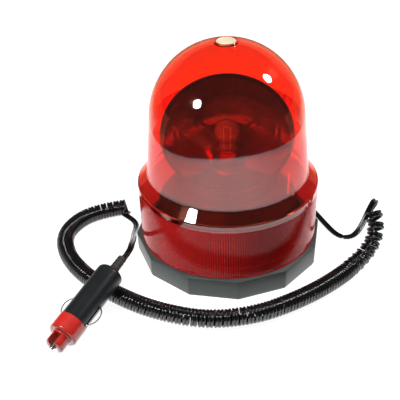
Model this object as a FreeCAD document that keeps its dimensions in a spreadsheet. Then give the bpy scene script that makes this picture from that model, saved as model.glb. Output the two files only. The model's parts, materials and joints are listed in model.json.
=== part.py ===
import FreeCAD, Part
import math
import os
import re
import Sketcher
from FreeCAD import Placement, Rotation, Vector

# Magnetic warning light: a bulb in a turning reflector under a red dome, on a magnet base, with a curly lead
# that ends in a vehicle lighter plug. Millimetres, +Z up. The origin is the centre of the base's underside,
# and the reflector looks along -Y at rest.

# Counts that make up the shapes
BASE_SIDES = 12
DOME_LUGS = 3
BOSSES = 3
GEAR_TEETH = 42
PINION_TEETH = 10
TURNTABLE_RIBS = 6
SOCKET_SLOTS = 2
SPRING_TURNS = 5
RELIEF_RINGS = 4
# Tooth shape of the gears, in modules and degrees
TOOTH_TIP = 0.8
TOOTH_ROOT = 1.1
TOOTH_SUNK = 0.3
PRESSURE_ANGLE = 20
# Share of a run that a bend of the lead may take up, and how far a tube's volume may be off
BEND_SHARE = 0.45
VOLUME_TOLERANCE = 0.01

# Driving dimensions, in millimetres and degrees
SIZES = {
    # Base and magnet
    "pad_thickness": 1.2,
    "pad_inset": 0.8,
    "base_height": 15.6,
    "base_margin": 1.4,
    "base_turn": 5.7,
    "base_draft": 1.2,
    "deck_thickness": 3.0,
    "pocket_radius": 58.0,
    "magnet_clearance": 6.0,
    "magnet_hole_radius": 24.0,
    "yoke_thickness": 1.5,
    "yoke_overhang": 2.0,
    "collar_thickness": 3.0,
    "collar_height": 6.5,
    "seal_width": 1.4,
    "seal_depth": 1.0,
    "seal_fit": 0.1,
    "boss_radius": 4.0,
    "boss_circle": 40.0,
    "boss_height": 24.4,
    "boss_hole_depth": 12.2,
    "boss_screw_depth": 8.1,
    "deck_screw_depth": 2.4,
    # Dome
    "skirt_foot_radius": 64.5,
    "skirt_radius": 65.0,
    "skirt_height": 59.3,
    "shoulder_height": 66.6,
    "wall_draft": 5.0,
    "crown_radius": 54.0,
    "crown_height": 162.0,
    "dome_wall": 2.4,
    "dome_lift": 0.5,
    "dome_fit": 0.5,
    "crown_boss_radius": 8.0,
    "crown_boss_rise": 0.9,
    "disc_radius": 6.6,
    "disc_thickness": 0.9,
    "disc_fit": 0.15,
    "lug_angle": 4.0,
    "lug_reach": 2.0,
    "lug_height": 2.6,
    "lug_rise": 2.2,
    "lug_play": 0.35,
    "dome_twist": 18.0,
    # Frame under the turntable
    "plate_thickness": 1.5,
    "plate_radius": 45.0,
    "cover_flange": 2.0,
    "cover_fit": 0.6,
    "cover_ledge": 6.0,
    "cover_lean": 2.5,
    "cover_shoulder_height": 46.0,
    "cover_height": 56.4,
    "cover_wall": 1.8,
    "cover_hole_radius": 15.0,
    "cover_roof_margin": 1.0,
    "screw_radius": 1.25,
    "screw_head_radius": 2.6,
    "screw_head_height": 1.6,
    "screw_fit": 0.05,
    # Turntable, gears and motor
    "post_radius": 10.0,
    "post_bore": 7.0,
    "post_flange_radius": 14.0,
    "post_flange": 1.5,
    "post_rise": 0.8,
    "run_clearance": 0.05,
    "washer_thickness": 0.6,
    "washer_fit": 0.1,
    "washer_inset": 0.3,
    "thrust_gap": 0.1,
    "gear_module": 1.0,
    "gear_thickness": 5.0,
    "gear_backlash": 0.3,
    "sleeve_wall": 3.0,
    "turntable_radius": 33.0,
    "turntable_gap": 0.6,
    "turntable_height": 9.0,
    "turntable_deck": 2.5,
    "turntable_wall": 2.0,
    "turntable_edge": 1.0,
    "rib_width": 1.6,
    "rib_lift": 1.0,
    "rib_sink": 0.5,
    "motor_radius": 10.0,
    "motor_length": 22.0,
    "motor_edge": 1.2,
    "motor_neck_radius": 3.0,
    "motor_neck_fit": 0.2,
    "motor_bore_depth": 4.0,
    "shaft_radius": 1.0,
    "shaft_fit": 0.02,
    "shaft_rise": 1.0,
    # Reflector
    "focal_length": 16.0,
    "mirror_radius": 43.0,
    "mirror_wall": 1.2,
    "mirror_lip": 1.4,
    "mirror_rise": 33.0,
    "mirror_foot_radius": 29.0,
    "mirror_foot": 1.6,
    "mirror_notch_radius": 11.0,
    "mirror_screw_offset": 18.0,
    "mirror_screw_back": 8.0,
    "mirror_screw_depth": 2.0,
    # Bulb and holder
    "bulb_seat": 2.7,
    "globe_radius": 9.15,
    "globe_drop": 11.5,
    "neck_radius": 5.8,
    "throat_flare": 0.4,
    "glass_wall": 0.7,
    "cap_radius": 7.5,
    "cap_length": 13.5,
    "nib_radius": 2.5,
    "nib_length": 1.5,
    "pin_drop": 10.0,
    "pin_radius": 1.0,
    "pin_reach": 1.4,
    "pin_play": 0.3,
    "bulb_twist": 25.0,
    "socket_wall": 0.85,
    "socket_fit": 0.25,
    "socket_lip": 1.5,
    "socket_floor": 1.5,
    "socket_overcut": 0.3,
    "spigot_length": 6.0,
    "spigot_wall": 2.0,
    "contact_radius": 2.5,
    "contact_head": 0.9,
    "contact_flare": 0.9,
    "insulator_fit": 0.1,
    "contact_tail": 2.0,
    "filament_length": 5.0,
    "filament_radius": 0.6,
    "filament_wire_radius": 0.35,
    # Inner wire
    "wire_radius": 0.6,
    "wire_loop_radius": 1.6,
    "wire_loop_height": 15.0,
    "wire_place_radius": 44.0,
    "wire_place_turn": -10.0,
    # Lead
    "lead_height": 7.2,
    "lead_turn": 75.0,
    "lead_diameter": 4.2,
    "straight_run": 9.0,
    "lead_hole_overcut": 4.0,
    "coil_diameter": 13.0,
    "grommet_radius": 3.9,
    "grommet_fit": 0.1,
    "grommet_lip": 1.6,
    "grommet_nose": 6.0,
    "grommet_gap": 0.35,
    "grommet_inner_lip": 1.2,
    "grommet_inner_start": 1.8,
    "grommet_inner_end": 0.5,
    "grommet_step": 0.3,
    "grommet_sleeve": 0.6,
    # Plug
    "plug_radius": 9.6,
    "plug_length": 46.0,
    "plug_round": 3.5,
    "thread_radius": 5.0,
    "thread_length": 6.8,
    "fuse_radius": 3.1,
    "fuse_length": 25.0,
    "fuse_cap": 6.0,
    "fuse_floor": 8.0,
    "fuse_waist": 0.3,
    "wire_hole_radius": 1.4,
    "plug_fit": 0.1,
    "tip_radius": 10.2,
    "tip_length": 12.0,
    "tip_round": 1.6,
    "nose_radius": 6.6,
    "nose_length": 9.0,
    "nose_round": 1.8,
    "nose_fillet": 0.8,
    "slot_width": 5.4,
    "slot_lift": 1.5,
    "contact_pin_radius": 2.25,
    "contact_pin_reach": 3.2,
    "contact_pin_round": 1.5,
    "pin_flange_radius": 3.2,
    "pin_flange": 1.5,
    "pin_flange_fit": 0.2,
    "pin_flange_gap": 0.1,
    "pin_seat": 1.4,
    "pin_spring_wire": 0.35,
    "bow_wire_radius": 0.45,
    "bow_radius": 9.0,
    "bow_reach": 5.0,
    "bow_root": 9.2,
    "bow_place": 36.4,
    "bow_slot_width": 1.7,
    "bow_travel": 2.6,
    "bow_slot_play": 0.4,
    "bow_slot_overcut": 1.0,
    "relief_length": 13.0,
    "relief_radius": 3.5,
    "relief_taper": 0.4,
    "relief_spigot": 4.0,
    "relief_spigot_radius": 2.9,
    "relief_ring_width": 1.3,
    "relief_ring_depth": 0.45,
}

# Middle line of the lead where it lies free, from the base to the curly part
LEAD_ROUTE = [
    (22.5, 91.5, 5.2),
    (34.0, 92.0, 3.2),
    (45.5, 84.0, 2.3),
    (54.5, 70.5, 2.3),
    (62.5, 54.5, 2.3),
    (70.0, 37.0, 2.3),
    (76.8, 20.0, 2.3),
    (81.5, 9.5, 2.3),
    (87.5, 3.2, 2.3),
    (95.0, 3.8, 2.6),
    (101.0, 10.5, 4.4),
    (105.5, 18.5, 7.0),
    (109.5, 26.5, 9.0),
]
# Middle line of the curly part, which lies on the floor round the front of the base
COIL_ROUTE = [
    (114.5, 34.0),
    (114.5, 12.0),
    (107.0, -13.0),
    (92.0, -36.0),
    (70.0, -58.5),
    (45.5, -76.5),
    (17.5, -91.0),
    (-15.0, -96.0),
    (-48.5, -86.5),
    (-76.0, -70.5),
    (-99.5, -50.5),
    (-117.5, -27.0),
    (-126.0, 0.5),
    (-117.5, 24.0),
    (-99.5, 37.0),
    (-81.0, 41.5),
]
# Middle line of the free end, from the plug's strain relief to the curly part
TAIL_ROUTE = [
    (-68.8, -36.5, 26.0),
    (-69.0, -25.0, 21.0),
    (-70.4, -13.3, 15.6),
    (-71.2, -1.4, 10.2),
    (-71.4, 10.5, 5.8),
    (-72.0, 21.5, 3.2),
    (-75.2, 29.3, 2.4),
    (-80.0, 34.0, 2.9),
    (-85.0, 37.0, 4.2),
]
# Where the plug lies: the plan of its collar's front, its heading from tip to lead, and how far back it rests
PLUG_FRONT_X = -107.4
PLUG_FRONT_Y = -114.5
PLUG_HEADING = 60.4
PLUG_REST_DISTANCE = 56.5
PLUG_REST_GAP = 0.9
FLOOR_GAP = 0.2

document = FreeCAD.newDocument("WarningLight")
sheet = document.addObject("Spreadsheet::Sheet", "Sizes")
for row, (alias, number) in enumerate(SIZES.items(), start=1):
    sheet.set(f"A{row}", alias)
    sheet.set(f"B{row}", str(number))
    sheet.setAlias(f"B{row}", alias)
document.recompute()

PIECES = []
WORD = re.compile(r"[a-z_]{3,}")


def size(expression):
    """Number that an expression over the sheet comes to."""
    return float(sheet.evalExpression(expression))


def bound(expression):
    """The expression as any other object of the document writes it."""
    return WORD.sub(lambda word: ("Sizes." if word.group() in SIZES else "") + word.group(), expression)


def piece(thing, label):
    """Files a finished object as a sub-part under its name."""
    thing.Label = label
    PIECES.append(thing)
    return thing


def new_body(label):
    """Body that becomes the sub-part of that name."""
    return piece(document.addObject("PartDesign::Body", label), label)


def sketch_on(body, role, lift="0"):
    """Empty sketch on one of the body's own planes, lifted along the plane's normal."""
    sketch = body.newObject("Sketcher::SketchObject", body.Label + "_sketch")
    plane = next(feature for feature in body.Origin.OriginFeatures if feature.Role == role)
    sketch.AttachmentSupport = [(plane, "")]
    sketch.MapMode = "FlatFace"
    sketch.setExpression(".AttachmentOffset.Base.z", bound(lift))
    return sketch


def fix_point(sketch, element, end, across, along):
    """Ties a point of the sketch to two expressions measured from the sketch's origin."""
    for kind, axis, expression in (("DistanceX", -2, across), ("DistanceY", -1, along)):
        if expression == "0":
            sketch.addConstraint(Sketcher.Constraint("PointOnObject", element, end, axis))
            continue
        number = sketch.addConstraint(Sketcher.Constraint(kind, -1, 1, element, end, size(expression)))
        sketch.setExpression(f"Constraints[{number}]", bound(expression))


def arc_between(start, end, radius, side):
    """Arc of that radius with its centre to the left (1) or right (-1) of the way from start to end."""
    chord = end - start
    middle = (start + end) * 0.5
    across = Vector(-chord.y, chord.x, 0).normalize()
    rise = math.sqrt(max(radius**2 - (chord.Length / 2) ** 2, 0))
    centre = middle + across * (side * rise)
    first, last = (start, end) if side > 0 else (end, start)
    angles = [math.atan2(point.y - centre.y, point.x - centre.x) for point in (first, last)]
    return Part.ArcOfCircle(Part.Circle(centre, Vector(0, 0, 1), radius), *angles)


def outline(sketch, corners):
    """Closed outline through corners: (x, y, radius, side) starts an arc, and (x, y) a straight line."""
    points = [Vector(size(corner[0]), size(corner[1]), 0) for corner in corners]
    starts = []
    for place, corner in enumerate(corners):
        start = points[place]
        end = points[(place + 1) % len(points)]
        if len(corner) == 2:
            starts.append((sketch.addGeometry(Part.LineSegment(start, end)), 1, 2))
            continue
        arc = sketch.addGeometry(arc_between(start, end, size(corner[2]), corner[3]))
        starts.append((arc, 1, 2) if corner[3] > 0 else (arc, 2, 1))
    for place, (element, _, end) in enumerate(starts):
        following, start, _ = starts[(place + 1) % len(starts)]
        sketch.addConstraint(Sketcher.Constraint("Coincident", element, end, following, start))
    for (element, start, _), corner in zip(starts, corners):
        fix_point(sketch, element, start, corner[0], corner[1])
        if len(corner) > 2:
            number = sketch.addConstraint(Sketcher.Constraint("Radius", element, size(corner[2])))
            sketch.setExpression(f"Constraints[{number}]", bound(corner[2]))
    return sketch


def circles(sketch, rounds):
    """Circles (x, y, radius) in a sketch."""
    for across, along, radius in rounds:
        centre = Vector(size(across), size(along), 0)
        element = sketch.addGeometry(Part.Circle(centre, Vector(0, 0, 1), size(radius)))
        fix_point(sketch, element, 3, across, along)
        number = sketch.addConstraint(Sketcher.Constraint("Radius", element, size(radius)))
        sketch.setExpression(f"Constraints[{number}]", bound(radius))
    return sketch


def sector(sketch, inner, outer, start, end):
    """Ring sector between two radii and two angles in degrees."""
    corners = []
    for radius, angle, arc, side in ((inner, start, None, 0), (outer, start, outer, 1), (outer, end, None, 0),
                                     (inner, end, inner, -1)):
        place = (f"{radius} * cos({angle} * 1 deg)", f"{radius} * sin({angle} * 1 deg)")
        corners.append(place + (arc, side) if arc else place)
    return outline(sketch, corners)


def feature(body, kind, sketch, length=None, upward=True):
    """Pad or Pocket of a sketch. A pocket that goes upward runs along the sketch's normal."""
    made = body.newObject("PartDesign::" + kind, body.Label + "_" + kind.lower())
    made.Profile = sketch
    made.setExpression("Length", bound(length))
    made.Reversed = upward if kind == "Pocket" else not upward
    before = body.Shape.Volume if body.Shape.Solids else 0.0
    document.recompute()
    grown = body.Shape.Volume - before
    if (grown > 0) != (kind == "Pad"):
        raise ValueError(f"{made.Name} changed nothing")
    return made


def round_pattern(body, made, count):
    """Copies of features round the body's Z axis."""
    document.recompute()
    pattern = body.newObject("PartDesign::PolarPattern", body.Label + "_pattern")
    pattern.Originals = made
    axis = next(item for item in body.Origin.OriginFeatures if item.Role == "Z_Axis")
    pattern.Axis = (axis, [""])
    pattern.Angle = 360
    pattern.Occurrences = count
    body.Tip = pattern
    document.recompute()
    return pattern


def turned(label, corners):
    """Body turned about Z from an outline of (radius, height) corners."""
    body = new_body(label)
    profile = outline(sketch_on(body, "XZ_Plane"), corners)
    turn = body.newObject("PartDesign::Revolution", label + "_turn")
    turn.Profile = profile
    turn.ReferenceAxis = (profile, ["V_Axis"])
    turn.Angle = 360
    document.recompute()
    return body


def at_turn(radius, degrees):
    """Pair of expressions for a point at that radius and angle."""
    return f"{radius} * cos({degrees} * 1 deg)", f"{radius} * sin({degrees} * 1 deg)"


# Levels and radii that several pieces share
deck_under = "(base_height - deck_thickness)"
base_flat = "(skirt_foot_radius + base_margin)"
collar_outer = "(skirt_foot_radius - dome_wall - dome_fit)"
collar_inner = f"({collar_outer} - collar_thickness)"
seal_middle = "(skirt_foot_radius - dome_wall / 2)"
lug_bottom = "(base_height + lug_rise)"
plate_bottom = "(base_height + boss_height)"
plate_top = f"({plate_bottom} + plate_thickness)"
flange_top = f"({plate_top} + post_flange)"
gear_bottom = f"({flange_top} + washer_thickness + thrust_gap)"
gear_top = f"({gear_bottom} + gear_thickness)"
run_bore = "(post_radius + run_clearance)"
sleeve_radius = f"({run_bore} + sleeve_wall)"
table_bottom = "(cover_height + turntable_gap)"
table_top = f"({table_bottom} + turntable_height)"
post_top = f"({table_top} + post_rise)"
nib_bottom = f"({post_top} + bulb_seat)"
cap_bottom = f"({nib_bottom} + nib_length)"
cap_top = f"({cap_bottom} + cap_length)"
globe_middle = f"({cap_top} + globe_drop)"
mirror_middle = f"({table_top} + mirror_rise)"
pin_height = f"({cap_top} - pin_drop)"
socket_bore = "(cap_radius + socket_fit)"
socket_radius = f"({socket_bore} + socket_wall)"
socket_top = f"({cap_top} - socket_lip)"
cover_flange_radius = f"({collar_inner} - cover_fit)"
cover_foot_radius = f"({cover_flange_radius} - cover_ledge)"
cover_shoulder_radius = f"({cover_foot_radius} - cover_lean)"
cover_roof_radius = "(turntable_radius + cover_roof_margin)"
cover_screw_circle = f"({cover_flange_radius} - cover_ledge / 2)"
gear_radius = f"(gear_module * {GEAR_TEETH} / 2)"
pinion_radius = f"(gear_module * {PINION_TEETH} / 2)"
motor_offset = f"({gear_radius} + {pinion_radius})"
FIRST_BOSS = 30
FIRST_COVER_SCREW = 90


def polygon(body, lift, flat):
    """Twelve-sided outline with that distance from its middle to its flats."""
    sketch = sketch_on(body, "XY_Plane", lift)
    step = 360 / BASE_SIDES
    corner = f"{flat} / cos({step / 2} deg)"
    return outline(sketch, [at_turn(corner, f"(base_turn + {step * side})") for side in range(BASE_SIDES)])


def base():
    """Rubber pad, twelve-sided housing with collar and bosses, magnet, steel plate and seal."""
    pad = new_body("base_pad")
    feature(pad, "Pad", polygon(pad, "0", f"({base_flat} - pad_inset)"), "pad_thickness")

    housing = new_body("base_housing")
    sides = polygon(housing, "pad_thickness", base_flat)
    block = feature(housing, "Pad", sides, "base_height - pad_thickness")
    block.setExpression("TaperAngle", "Sizes.base_draft")
    hollow = circles(sketch_on(housing, "XY_Plane", "pad_thickness"), [("0", "0", "pocket_radius")])
    feature(housing, "Pocket", hollow, f"{deck_under} - pad_thickness")
    ring = [("0", "0", collar_outer), ("0", "0", collar_inner)]
    feature(housing, "Pad", circles(sketch_on(housing, "XY_Plane", "base_height"), ring), "collar_height")
    edges = [("0", "0", f"{seal_middle} {sign} seal_width / 2") for sign in "+-"]
    groove = circles(sketch_on(housing, "XY_Plane", "base_height"), edges)
    feature(housing, "Pocket", groove, "seal_depth", False)
    slot_room = "(lug_angle + lug_play)"
    slot_foot = f"{lug_bottom} - lug_play"
    slot_floor = f"({collar_outer} - lug_reach - lug_play - dome_fit)"
    slot_mouth = f"({collar_outer} + dome_fit)"
    slot = sector(sketch_on(housing, "XY_Plane", slot_foot), slot_floor, slot_mouth,
                  f"(0 - {slot_room})", f"(dome_twist + {slot_room})")
    run = feature(housing, "Pocket", slot, "lug_height + 2 * lug_play")
    entry = sector(sketch_on(housing, "XY_Plane", slot_foot), slot_floor, slot_mouth,
                   f"(dome_twist - {slot_room})", f"(dome_twist + {slot_room})")
    gate = feature(housing, "Pocket", entry, "collar_height")
    round_pattern(housing, [run, gate], DOME_LUGS)
    boss_place = at_turn("boss_circle", str(FIRST_BOSS))
    boss = circles(sketch_on(housing, "XY_Plane", "base_height"), [boss_place + ("boss_radius",)])
    post = feature(housing, "Pad", boss, "boss_height")
    round_pattern(housing, [post], BOSSES)
    drill = "screw_radius + screw_fit"
    bolt = circles(sketch_on(housing, "XY_Plane", plate_bottom), [boss_place + (drill,)])
    boss_hole = feature(housing, "Pocket", bolt, "boss_hole_depth", False)
    round_pattern(housing, [boss_hole], BOSSES)
    screw_place = at_turn(cover_screw_circle, str(FIRST_COVER_SCREW))
    screw = circles(sketch_on(housing, "XY_Plane", "base_height"), [screw_place + (drill,)])
    deck_hole = feature(housing, "Pocket", screw, "deck_thickness", False)
    round_pattern(housing, [deck_hole], BOSSES)
    lead_hole = housing.newObject("PartDesign::SubtractiveCylinder", "lead_hole")
    lead_hole.setExpression("Radius", bound("grommet_radius + grommet_fit"))
    lead_hole.setExpression("Height", bound(f"{base_flat} - pocket_radius + 2 * lead_hole_overcut"))
    across, along = at_turn("(pocket_radius - lead_hole_overcut)", "(base_turn + lead_turn)")
    lead_hole.setExpression(".Placement.Base.x", bound(across))
    lead_hole.setExpression(".Placement.Base.y", bound(along))
    lead_hole.setExpression(".Placement.Base.z", bound("lead_height"))
    lead_hole.Placement.Rotation = outward_rotation()
    document.recompute()

    magnet_top = f"({deck_under} - yoke_thickness)"
    magnet_radius = "(pocket_radius - magnet_clearance)"
    turned("magnet_ring", [("magnet_hole_radius", "pad_thickness"), (magnet_radius, "pad_thickness"),
                           (magnet_radius, magnet_top), ("magnet_hole_radius", magnet_top)])
    yoke_radius = f"{magnet_radius} + yoke_overhang"
    turned("magnet_plate", [("magnet_hole_radius", magnet_top), (yoke_radius, magnet_top),
                            (yoke_radius, deck_under), ("magnet_hole_radius", deck_under)])
    seal_foot = "(base_height - seal_depth)"
    seal_top = "(base_height + dome_lift - seal_fit)"
    half = "(seal_width / 2 - seal_fit)"
    turned("dome_seal", [(f"{seal_middle} - {half}", seal_foot), (f"{seal_middle} + {half}", seal_foot),
                         (f"{seal_middle} + {half}", seal_top), (f"{seal_middle} - {half}", seal_top)])


def outward_rotation():
    """Turns +Z to point out of the base where the lead leaves it."""
    way = math.radians(size("base_turn + lead_turn"))
    return Rotation(Vector(0, 0, 1), Vector(math.cos(way), math.sin(way), 0))


def dome():
    """Red cover with skirt, sloping shoulder, straight wall, round crown and twist lugs, and its top disc."""
    foot = "(base_height + dome_lift)"
    centre = "(crown_height - crown_radius)"
    lean = "wall_draft * 1 deg"
    tangent_radius = f"crown_radius * cos({lean})"
    tangent_height = f"{centre} + crown_radius * sin({lean})"
    neck = f"({tangent_radius} + ({tangent_height} - shoulder_height) * tan({lean}))"
    inner_crown = "(crown_radius - dome_wall)"
    inner_top = f"{centre} + {inner_crown}"
    across = f"(skirt_radius - {neck})"
    rise = "(shoulder_height - skirt_height)"
    under = f"(dome_wall * (sqrt({across} ^ 2 + {rise} ^ 2) - {rise}) / {across})"
    boss_top = "(crown_height + crown_boss_rise)"
    recess = f"{boss_top} - disc_thickness"
    body = turned("dome", [
        ("skirt_foot_radius", foot),
        ("skirt_radius", "skirt_height"),
        (neck, "shoulder_height"),
        (tangent_radius, tangent_height, "crown_radius", 1),
        ("crown_boss_radius", f"{centre} + sqrt(crown_radius ^ 2 - crown_boss_radius ^ 2)"),
        ("crown_boss_radius", boss_top),
        ("disc_radius + disc_fit", boss_top),
        ("disc_radius + disc_fit", recess),
        ("0", recess),
        ("0", inner_top, inner_crown, -1),
        (f"{inner_crown} * cos({lean})", f"{centre} + {inner_crown} * sin({lean})"),
        (f"{neck} - dome_wall", f"shoulder_height - {under}"),
        ("skirt_radius - dome_wall", f"skirt_height - {under}"),
        ("skirt_foot_radius - dome_wall", foot),
    ])
    lug = sector(sketch_on(body, "XY_Plane", lug_bottom), f"({collar_outer} - lug_reach)",
                 "(skirt_foot_radius - dome_wall / 2)", "(0 - lug_angle)", "lug_angle")
    round_pattern(body, [feature(body, "Pad", lug, "lug_height")], DOME_LUGS)
    turned("top_disc", [("0", recess), ("disc_radius", recess), ("disc_radius", boss_top), ("0", boss_top)])


def frame():
    """Cover, plate and screws that stand on the base's deck."""
    roof_under = "(cover_height - cover_wall)"
    cover = turned("chassis_cover", [
        (f"{cover_foot_radius} - cover_wall", "base_height"),
        (cover_flange_radius, "base_height"),
        (cover_flange_radius, "base_height + cover_flange"),
        (cover_foot_radius, "base_height + cover_flange"),
        (cover_shoulder_radius, "cover_shoulder_height"),
        (cover_roof_radius, "cover_height"),
        ("cover_hole_radius", "cover_height"),
        ("cover_hole_radius", roof_under),
        (f"{cover_roof_radius} - cover_wall / 2", roof_under),
        (f"{cover_shoulder_radius} - cover_wall", "cover_shoulder_height - cover_wall / 2"),
    ])
    place = at_turn(cover_screw_circle, str(FIRST_COVER_SCREW))
    hole = circles(sketch_on(cover, "XY_Plane", "base_height"), [place + ("screw_radius + screw_fit",)])
    round_pattern(cover, [feature(cover, "Pocket", hole, "cover_flange")], BOSSES)

    plate = new_body("chassis_plate")
    motor_hole = (motor_offset, "0", "motor_neck_radius + motor_neck_fit")
    holes = [("0", "0", "plate_radius"), ("0", "0", "post_bore"), motor_hole]
    feature(plate, "Pad", circles(sketch_on(plate, "XY_Plane", plate_bottom), holes), "plate_thickness")
    place = at_turn("boss_circle", str(FIRST_BOSS))
    hole = circles(sketch_on(plate, "XY_Plane", plate_bottom), [place + ("screw_radius + screw_fit",)])
    round_pattern(plate, [feature(plate, "Pocket", hole, "plate_thickness")], BOSSES)

    screws("plate_screws", "boss_circle", FIRST_BOSS, plate_top, "plate_thickness + boss_screw_depth")
    screws("cover_screws", cover_screw_circle, FIRST_COVER_SCREW, "base_height + cover_flange",
           "cover_flange + deck_screw_depth")


def screws(label, circle, first, seat, shank):
    """Group of equal screws round the Z axis, each with its head on the seat."""
    solids = []
    for number in range(BOSSES):
        way = math.radians(first + 360 / BOSSES * number)
        place = Vector(size(circle) * math.cos(way), size(circle) * math.sin(way), size(seat))
        solids.append(screw_solid(place, size(shank)))
    return group(label, solids)


def screw_solid(place, shank):
    """Round-headed screw pointing down from its seat."""
    head = Part.makeCylinder(size("screw_head_radius"), size("screw_head_height"), place)
    rod = Part.makeCylinder(size("screw_radius"), shank, place - Vector(0, 0, shank))
    return head.fuse(rod).removeSplitter()


def group(label, solids):
    """Sub-part of one or more separate solids."""
    thing = piece(document.addObject("Part::Feature", label), label)
    thing.Shape = solids[0] if len(solids) == 1 else Part.makeCompound(solids)
    return thing


def gear(label, teeth, bore, bottom, first_tooth):
    """Spur gear with straight-flanked teeth, each narrowed by half the backlash."""
    body = new_body(label)
    pitch = f"(gear_module * {teeth} / 2)"
    root = f"({pitch} - {TOOTH_ROOT} * gear_module)"
    ring = [("0", "0", root), ("0", "0", bore)]
    feature(body, "Pad", circles(sketch_on(body, "XY_Plane", bottom), ring), "gear_thickness")
    half = f"(gear_module * {math.pi / 4} - gear_backlash / 2)"
    slope = math.tan(math.radians(PRESSURE_ANGLE))
    tip = f"({pitch} + {TOOTH_TIP} * gear_module)"
    sunk = f"({root} - {TOOTH_SUNK} * gear_module)"
    across = {tip: f"({half} - {TOOTH_TIP * slope} * gear_module)",
              sunk: f"({half} + {TOOTH_ROOT * slope} * gear_module)"}
    corners = []
    for radius, sign in ((sunk, "-"), (tip, "-"), (tip, "+"), (sunk, "+")):
        turn = f"({first_tooth} {sign} {across[radius]} / {radius} * {math.degrees(1)})"
        corners.append(at_turn(radius, turn))
    tooth = feature(body, "Pad", outline(sketch_on(body, "XY_Plane", bottom), corners), "gear_thickness")
    round_pattern(body, [tooth], teeth)
    return body


def drive():
    """Motor with its pinion, and the gear, post, washer and turntable that carry the reflector."""
    gear("drive_gear", GEAR_TEETH, run_bore, gear_bottom, 0)
    pinion = gear("motor_pinion", PINION_TEETH, "shaft_radius + shaft_fit", gear_bottom, 180 / PINION_TEETH)
    can = turned("motor_can", [
        ("0", f"{plate_bottom} - motor_length"),
        ("motor_radius - motor_edge", f"{plate_bottom} - motor_length", "motor_edge", 1),
        ("motor_radius", f"{plate_bottom} - motor_length + motor_edge"),
        ("motor_radius", plate_bottom),
        ("motor_neck_radius", plate_bottom),
        ("motor_neck_radius", plate_top),
        ("shaft_radius + run_clearance", plate_top),
        ("shaft_radius + run_clearance", f"{plate_bottom} - motor_bore_depth"),
        ("0", f"{plate_bottom} - motor_bore_depth"),
    ])
    shaft_foot = f"{plate_bottom} - motor_bore_depth + thrust_gap"
    shaft = turned("motor_shaft", [
        ("0", shaft_foot),
        ("shaft_radius", shaft_foot),
        ("shaft_radius", f"{gear_top} + shaft_rise"),
        ("0", f"{gear_top} + shaft_rise"),
    ])
    for thing in (pinion, can, shaft):
        thing.setExpression(".Placement.Base.x", bound(motor_offset))

    turned("lamp_post", [
        ("post_bore", plate_top),
        ("post_flange_radius", plate_top),
        ("post_flange_radius", flange_top),
        ("post_radius", flange_top),
        ("post_radius", post_top),
        ("post_bore", post_top),
    ])
    washer_top = f"({flange_top} + washer_thickness)"
    turned("thrust_washer", [
        ("post_radius + washer_fit", flange_top),
        ("post_flange_radius - washer_inset", flange_top),
        ("post_flange_radius - washer_inset", washer_top),
        ("post_radius + washer_fit", washer_top),
    ])
    deck_bottom = f"({table_top} - turntable_deck)"
    rim = "(turntable_radius - turntable_wall)"
    table = turned("turntable", [
        (run_bore, gear_top),
        (sleeve_radius, gear_top),
        (sleeve_radius, deck_bottom),
        (rim, deck_bottom),
        (rim, table_bottom),
        ("turntable_radius", table_bottom),
        ("turntable_radius", f"{table_top} - turntable_edge", "turntable_edge", 1),
        ("turntable_radius - turntable_edge", table_top),
        (run_bore, table_top),
    ])
    rib = outline(sketch_on(table, "XY_Plane", f"{table_bottom} + rib_lift"), [
        (f"{sleeve_radius} - rib_sink", "0 - rib_width / 2"),
        (f"{rim} + rib_sink", "0 - rib_width / 2"),
        (f"{rim} + rib_sink", "rib_width / 2"),
        (f"{sleeve_radius} - rib_sink", "rib_width / 2"),
    ])
    web = feature(table, "Pad", rib, f"{deck_bottom} - {table_bottom} - rib_lift")
    round_pattern(table, [web], TURNTABLE_RIBS)


def bowl(focal, vertex, opening):
    """Solid inside a parabola turned about the Y axis, open towards -Y, with its vertex at +Y."""
    level = size(mirror_middle)
    depth = opening**2 / (4 * focal)
    curve = Part.Parabola(Vector(0, vertex - focal, level), Vector(0, vertex, level), Vector(1, 0, 0))
    arc = Part.ArcOfParabola(curve, 0, opening).toBSpline().toShape()
    ends = sorted((end.Point for end in arc.Vertexes), key=lambda point: abs(point.z - level))
    middle = Vector(0, vertex - depth, level)
    sides = [Part.makeLine(ends[1], middle), Part.makeLine(middle, ends[0])]
    face = Part.Face(Part.Wire(Part.__sortEdges__([arc] + sides)))
    return face.revolve(Vector(0, 0, level), Vector(0, 1, 0), 360)


def reflector():
    """Parabolic dish with a rim lip, a foot on the turntable and a notch for the holder, and its screws."""
    focal = size("focal_length")
    wall = size("mirror_wall")
    radius = size("mirror_radius")
    seat = size(table_top)
    middle = Vector(0, 0, size(mirror_middle))
    front = focal - radius**2 / (4 * focal)
    inner = bowl(focal, focal, radius)
    outer = bowl(focal + wall, focal + wall, math.sqrt(4 * (focal + wall) * (focal + wall - front)))
    lip_radius = radius + wall + size("mirror_lip")
    lip = Part.makeCylinder(lip_radius, wall, middle + Vector(0, front, 0), Vector(0, 1, 0))
    foot = Part.makeCylinder(size("mirror_foot_radius"), size("mirror_foot"), Vector(0, 0, seat))
    room = Part.makeBox(4 * radius, 4 * radius, 4 * radius, Vector(-2 * radius, front, seat))
    shell = outer.fuse([lip, foot]).cut(inner).common(room)
    notch = Part.makeCylinder(size("mirror_notch_radius"), size(cap_top) - seat, Vector(0, 0, seat))
    shell = shell.cut(notch)
    offset = size("mirror_screw_offset")
    back = size("mirror_screw_back")
    places = [Vector(side * offset, back, seat + size("mirror_foot")) for side in (-1, 1)]
    shank = size("mirror_foot + mirror_screw_depth")
    drill = size("screw_radius + screw_fit")
    for place in places:
        shell = shell.cut(Part.makeCylinder(drill, shank, place - Vector(0, 0, shank)))
    group("reflector", [shell.removeSplitter().Solids[0]])
    group("reflector_screws", [screw_solid(place, shank) for place in places])
    return [(place, shank, drill) for place in places]


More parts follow.
